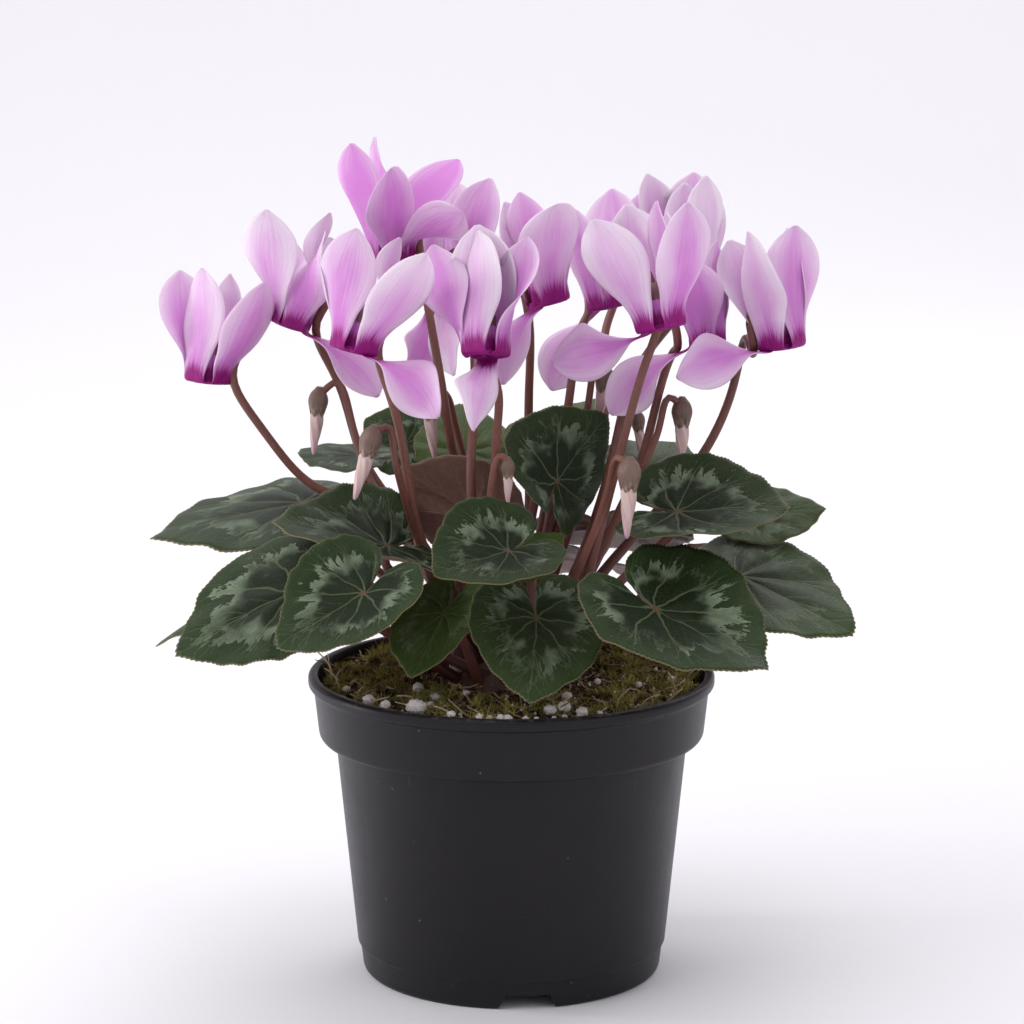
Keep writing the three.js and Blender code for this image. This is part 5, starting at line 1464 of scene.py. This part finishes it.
def bud_top(bud):
    """Where the bud's sepals start."""
    return point(bud["neck"]) - bud_axes(bud)[2] * SEPAL_LENGTH * bud["size"]


def bud_spindle(bud):
    """The furled petals: a spindle with spiral folds that ends in a point."""
    length, radius = BUD_LENGTH * bud["size"], BUD_RADIUS * bud["size"]
    s = np.linspace(0, 1, BUD_STEPS)[:, None]
    angle = full_turn(BUD_SIDES)[None]
    fold = 1 + BUD_FOLD_DEPTH * np.cos(5 * (angle + BUD_TWIST * s)) * ease(s * 4)
    radii = radius * along_table(BUD_OUTLINE, s) * fold
    rings = rings_along(point(bud["neck"]), bud_axes(bud), length * s - BUD_SUNK, radii, BUD_SIDES)
    petal = np.stack(np.broadcast_arrays(angle / (2 * math.pi), s, float(bud["neck"][0])), -1)
    return loft(rings, {"petal": petal.reshape(-1, 3)})


def bud_knob(bud):
    """The swelling where the bud's stalk meets its sepals."""
    size = bud["size"]
    s = np.linspace(0, 1, KNOB_STEPS)[:, None]
    radii = SEPAL_RADIUS * size * 0.8 * np.sin(math.pi * (0.08 + 0.8 * s)) ** 0.7
    heights = SEPAL_LENGTH * 0.95 * size * s - 0.6
    rings = rings_along(bud_top(bud), bud_axes(bud), heights, radii, KNOB_SIDES)
    return loft(rings, {"stem": np.tile([0.4, 0.35, 1.0], (KNOB_STEPS * KNOB_SIDES, 1))})


def make_buds():
    for bud in BUDS:
        make_piece(bud["name"] + "_petals", [bud_spindle(bud)], BUD, "bud", [bud["name"]])


# Stalks

def crown_roots(towards, ring):
    """Places evenly round a ring of the crown, in the order in which the stalks lie round the plant."""
    rise = TUBER_HALF_HEIGHT * math.sqrt(1 - (ring / TUBER_RADIUS) ** 2)
    height = TUBER_CENTRE_HEIGHT + rise - STALK_ROOT_DEPTH
    bearings = [math.atan2(p[1], p[0]) for p in towards]
    order = sorted(range(len(bearings)), key=lambda i: bearings[i])
    step = 2 * math.pi / len(order)
    turn = sum(bearings[i] - place * step for place, i in enumerate(order)) / len(order)
    roots = [None] * len(order)
    for place, i in enumerate(order):
        angle = turn + place * step
        roots[i] = point((ring * math.cos(angle), ring * math.sin(angle), height))
    return roots


def leaf_stalk(leaf, root):
    """The stalk past its waypoints, and up into the blade from below."""
    _, forward, normal, _ = leaf_axes(leaf)
    end = point(leaf["stalk"]) - normal * 0.3
    rise = root + STALK_RISE_SHARE * (end - root) + (0, 0, STALK_RISE_LIFT * (end[2] - root[2]))
    approach = end - 5 * normal - forward
    return [root, *(leaf["via"] or [rise]), approach, end], LEAF_STALK_RADIUS


def flower_stalk(bloom, root):
    """The stalk past its waypoints, up beside the bloom, and over its hook into the calyx."""
    axes = bloom_axes(bloom)
    out = outwards(axes, bloom["side"])

    def beside(reach, height):
        return point(bloom["mouth"]) + out * reach + axes[0] * height

    joint = beside(HOOK_REACH, HOOK_FOOT)
    down = unit(unit(point(bloom["via"][0]) - joint) - axes[0])
    lead = [joint + down * HOOK_LEAD, joint - down * HOOK_LEAD]
    hook = [beside(HOOK_REACH, TUBE_HEIGHT), beside(HOOK_REACH / 2, HOOK_TOP)]
    end = [beside(0, CALYX_TOP - 1), beside(0, TUBE_HEIGHT)]
    return [root, *reversed(bloom["via"]), *lead, *hook, *end], FLOWER_STALK_RADIUS


def bud_stalk(bud, root):
    """The stalk past its waypoints, over its bend and down into the sepals."""
    inside = point(bud["neck"]) - bud_axes(bud)[2] * SEPAL_LENGTH * bud["size"] * 0.7
    return [root, *reversed(bud["via"]), bud["bend"], inside], BUD_STALK_RADIUS


def sepals(centre, axes, length, radius, closing, tone):
    """A cap of pointed sepals that hug what they hold. Axes: two across, and the way that the cap opens."""
    outline = ((0, 0.32), (0.14, 0.72), (0.42, 1), (0.74, 1 - 0.45 * closing), (1, 1 - closing))
    s = np.linspace(0, 1, SEPAL_STEPS)[:, None]
    u = np.linspace(-1, 1, SEPAL_COLUMNS)[None]
    bulge = radius * along_table(outline, s)
    half = radius * 0.72 * np.sin(math.pi * np.clip(0.12 + 0.88 * s, 0, 1)) ** 0.8 + 0.08
    spread = half * u / np.maximum(bulge, 0.4)
    thick = SEPAL_THICKNESS * (1 - 0.5 * u**2) * (1.1 - s)
    stem = {"stem": np.stack(np.broadcast_arrays(0.3 + 0.7 * s * np.ones_like(u), tone, 1.0), -1)}
    parts = []
    for turn in full_turn(SEPAL_COUNT):
        out = axes[0] * math.cos(turn) + axes[1] * math.sin(turn)
        side = np.cross(axes[2], out)
        ring = out * np.cos(spread)[..., None] + side * np.sin(spread)[..., None]
        inner = centre + axes[2] * (length * s)[..., None] + ring * bulge[..., None]
        parts.append(shell(inner + ring * thick[..., None], inner, stem, stem))
    return parts


def stalk_lines(chance):
    """The line of every stalk, ring by ring, with its radii and its tone."""
    carried = [
        (leaf, leaf_stalk, LEAF_RINGS[i % 2], (leaf["via"] or [leaf["stalk"]])[0])
        for i, leaf in enumerate(LEAVES)
    ]
    carried += [(bud, bud_stalk, BUD_RING, bud["via"][-1]) for bud in BUDS]
    carried += [(bloom, flower_stalk, FLOWER_RING, bloom["via"][-1]) for bloom in BLOOMS]
    along = np.linspace(0, 1, STALK_STEPS)
    freedom = 1 - HOOK_STIFFNESS * ease((along - HOOK_SHARE) / HOOK_FADE)
    lines = []
    for ring in (*LEAF_RINGS, BUD_RING, FLOWER_RING):
        items = [item for item in carried if item[2] == ring]
        roots = crown_roots([item[3] for item in items], ring)
        for (thing, route, _, _), root in zip(items, roots):
            points, end_radius = route(thing, root)
            path = soften(smooth_path(points, STALK_STEPS), STALK_EASING, freedom)
            radii = STALK_ROOT_RADIUS + (end_radius - STALK_ROOT_RADIUS) * np.minimum(1, STALK_TAPER * along)
            lines.append((path, radii, chance.random()))
    return lines


def make_stalks():
    """The tuber, every stalk that grows from it, the calyces and the buds' sepals."""
    chance = np.random.default_rng(31)
    parts = [tubes(stalk_lines(chance), STALK_SIDES, STALK)]
    for bloom in BLOOMS:
        up, x, y = bloom_axes(bloom)
        centre = point(bloom["mouth"]) + up * CALYX_TOP
        parts += sepals(centre, (x, -y, -up), CALYX_LENGTH, CALYX_RADIUS, CALYX_CLOSING, CALYX_TONE)
    for bud in BUDS:
        length, radius = (SEPAL_LENGTH + SEPAL_OVERHANG) * bud["size"], SEPAL_RADIUS * bud["size"]
        tone = 0.3 + 0.5 * chance.random()
        parts += sepals(bud_top(bud), bud_axes(bud), length, radius, SEPAL_CLOSING, tone)
        parts.append(bud_knob(bud))
    angle = np.linspace(-math.pi / 2, math.pi / 2, TUBER_STEPS)
    height = TUBER_CENTRE_HEIGHT + TUBER_HALF_HEIGHT * np.sin(angle)
    tuber = np.stack([TUBER_RADIUS * np.cos(angle), height], -1)
    tuber[[0, -1], 0] = 0.01
    points, faces = turned(
        tuber, TUBER_SIDES, lambda a, z: 1 + 0.02 * np.sin(7 * a) + 0.015 * np.sin(16 * a + z)
    )
    parts.append((points, faces, {"stem": np.tile([0.0, 0.1, 0.75], (len(points), 1))}))
    make_piece("tuber_stalks_and_sepals", parts, STALK, "stalk", ["tuber_and_stalks"])


# Studio

def make_camera():
    camera = bpy.data.cameras.new("camera")
    camera.lens = CAMERA_LENS
    camera.sensor_width = 36
    camera.sensor_fit = "HORIZONTAL"
    camera.clip_end = CAMERA_REACH
    holder = bpy.data.objects.new("camera", camera)
    holder.location = point(CAMERA_PLACE) * MM
    holder.rotation_euler = (math.radians(90 - CAMERA_PITCH), 0, 0)
    bpy.context.collection.objects.link(holder)
    bpy.context.scene.camera = holder


def make_light(name, place, target, size, watts):
    light = bpy.data.lights.new(name, "AREA")
    light.shape = "RECTANGLE"
    light.size, light.size_y = size
    light.energy = watts
    holder = bpy.data.objects.new(name, light)
    holder.location = place
    holder.rotation_euler = (Vector(target) - holder.location).to_track_quat("-Z", "Y").to_euler()
    bpy.context.collection.objects.link(holder)


def make_studio():
    """A pale sweep that turns up into a backdrop behind the pot, and soft light from all round."""
    bend = [
        (SWEEP_BEND_START + SWEEP_BEND_RADIUS * math.sin(a), SWEEP_BEND_RADIUS * (1 - math.cos(a)))
        for a in np.linspace(0, math.pi / 2, 24)
    ]
    line = [(SWEEP_FRONT, 0), *bend, (SWEEP_BEND_START + SWEEP_BEND_RADIUS, SWEEP_TOP)]
    points = [(x, y, z) for y, z in line for x in (-SWEEP_HALF_WIDTH, SWEEP_HALF_WIDTH)]
    faces = [(i, i + 1, i + 3, i + 2) for i in range(0, len(points) - 2, 2)]
    sweep = new_object("studio_sweep", points, faces)
    sweep.data.polygons.foreach_set("use_smooth", [True] * len(faces))
    sweep.data.materials.append(FLOOR)
    sweep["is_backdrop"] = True
    world = bpy.data.worlds.new("studio")
    world.use_nodes = True
    background = world.node_tree.nodes["Background"]
    background.inputs["Color"].default_value = ROOM_LIGHT
    background.inputs["Strength"].default_value = ROOM_STRENGTH
    bpy.context.scene.world = world
    for name, light in LIGHTS.items():
        make_light(name, *light)
    bpy.context.scene.view_settings.view_transform = "Standard"
    bpy.context.scene.view_settings.look = "None"


make_camera()
make_studio()
make_pot()
make_litter(make_soil())
make_grains()
make_straws()
make_stalks()
make_leaves()
make_blooms()
make_buds()

VISUAL_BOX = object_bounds()
{"cad": [list(corner) for corner in CAD_BOX], "visual": [list(corner) for corner in VISUAL_BOX]}
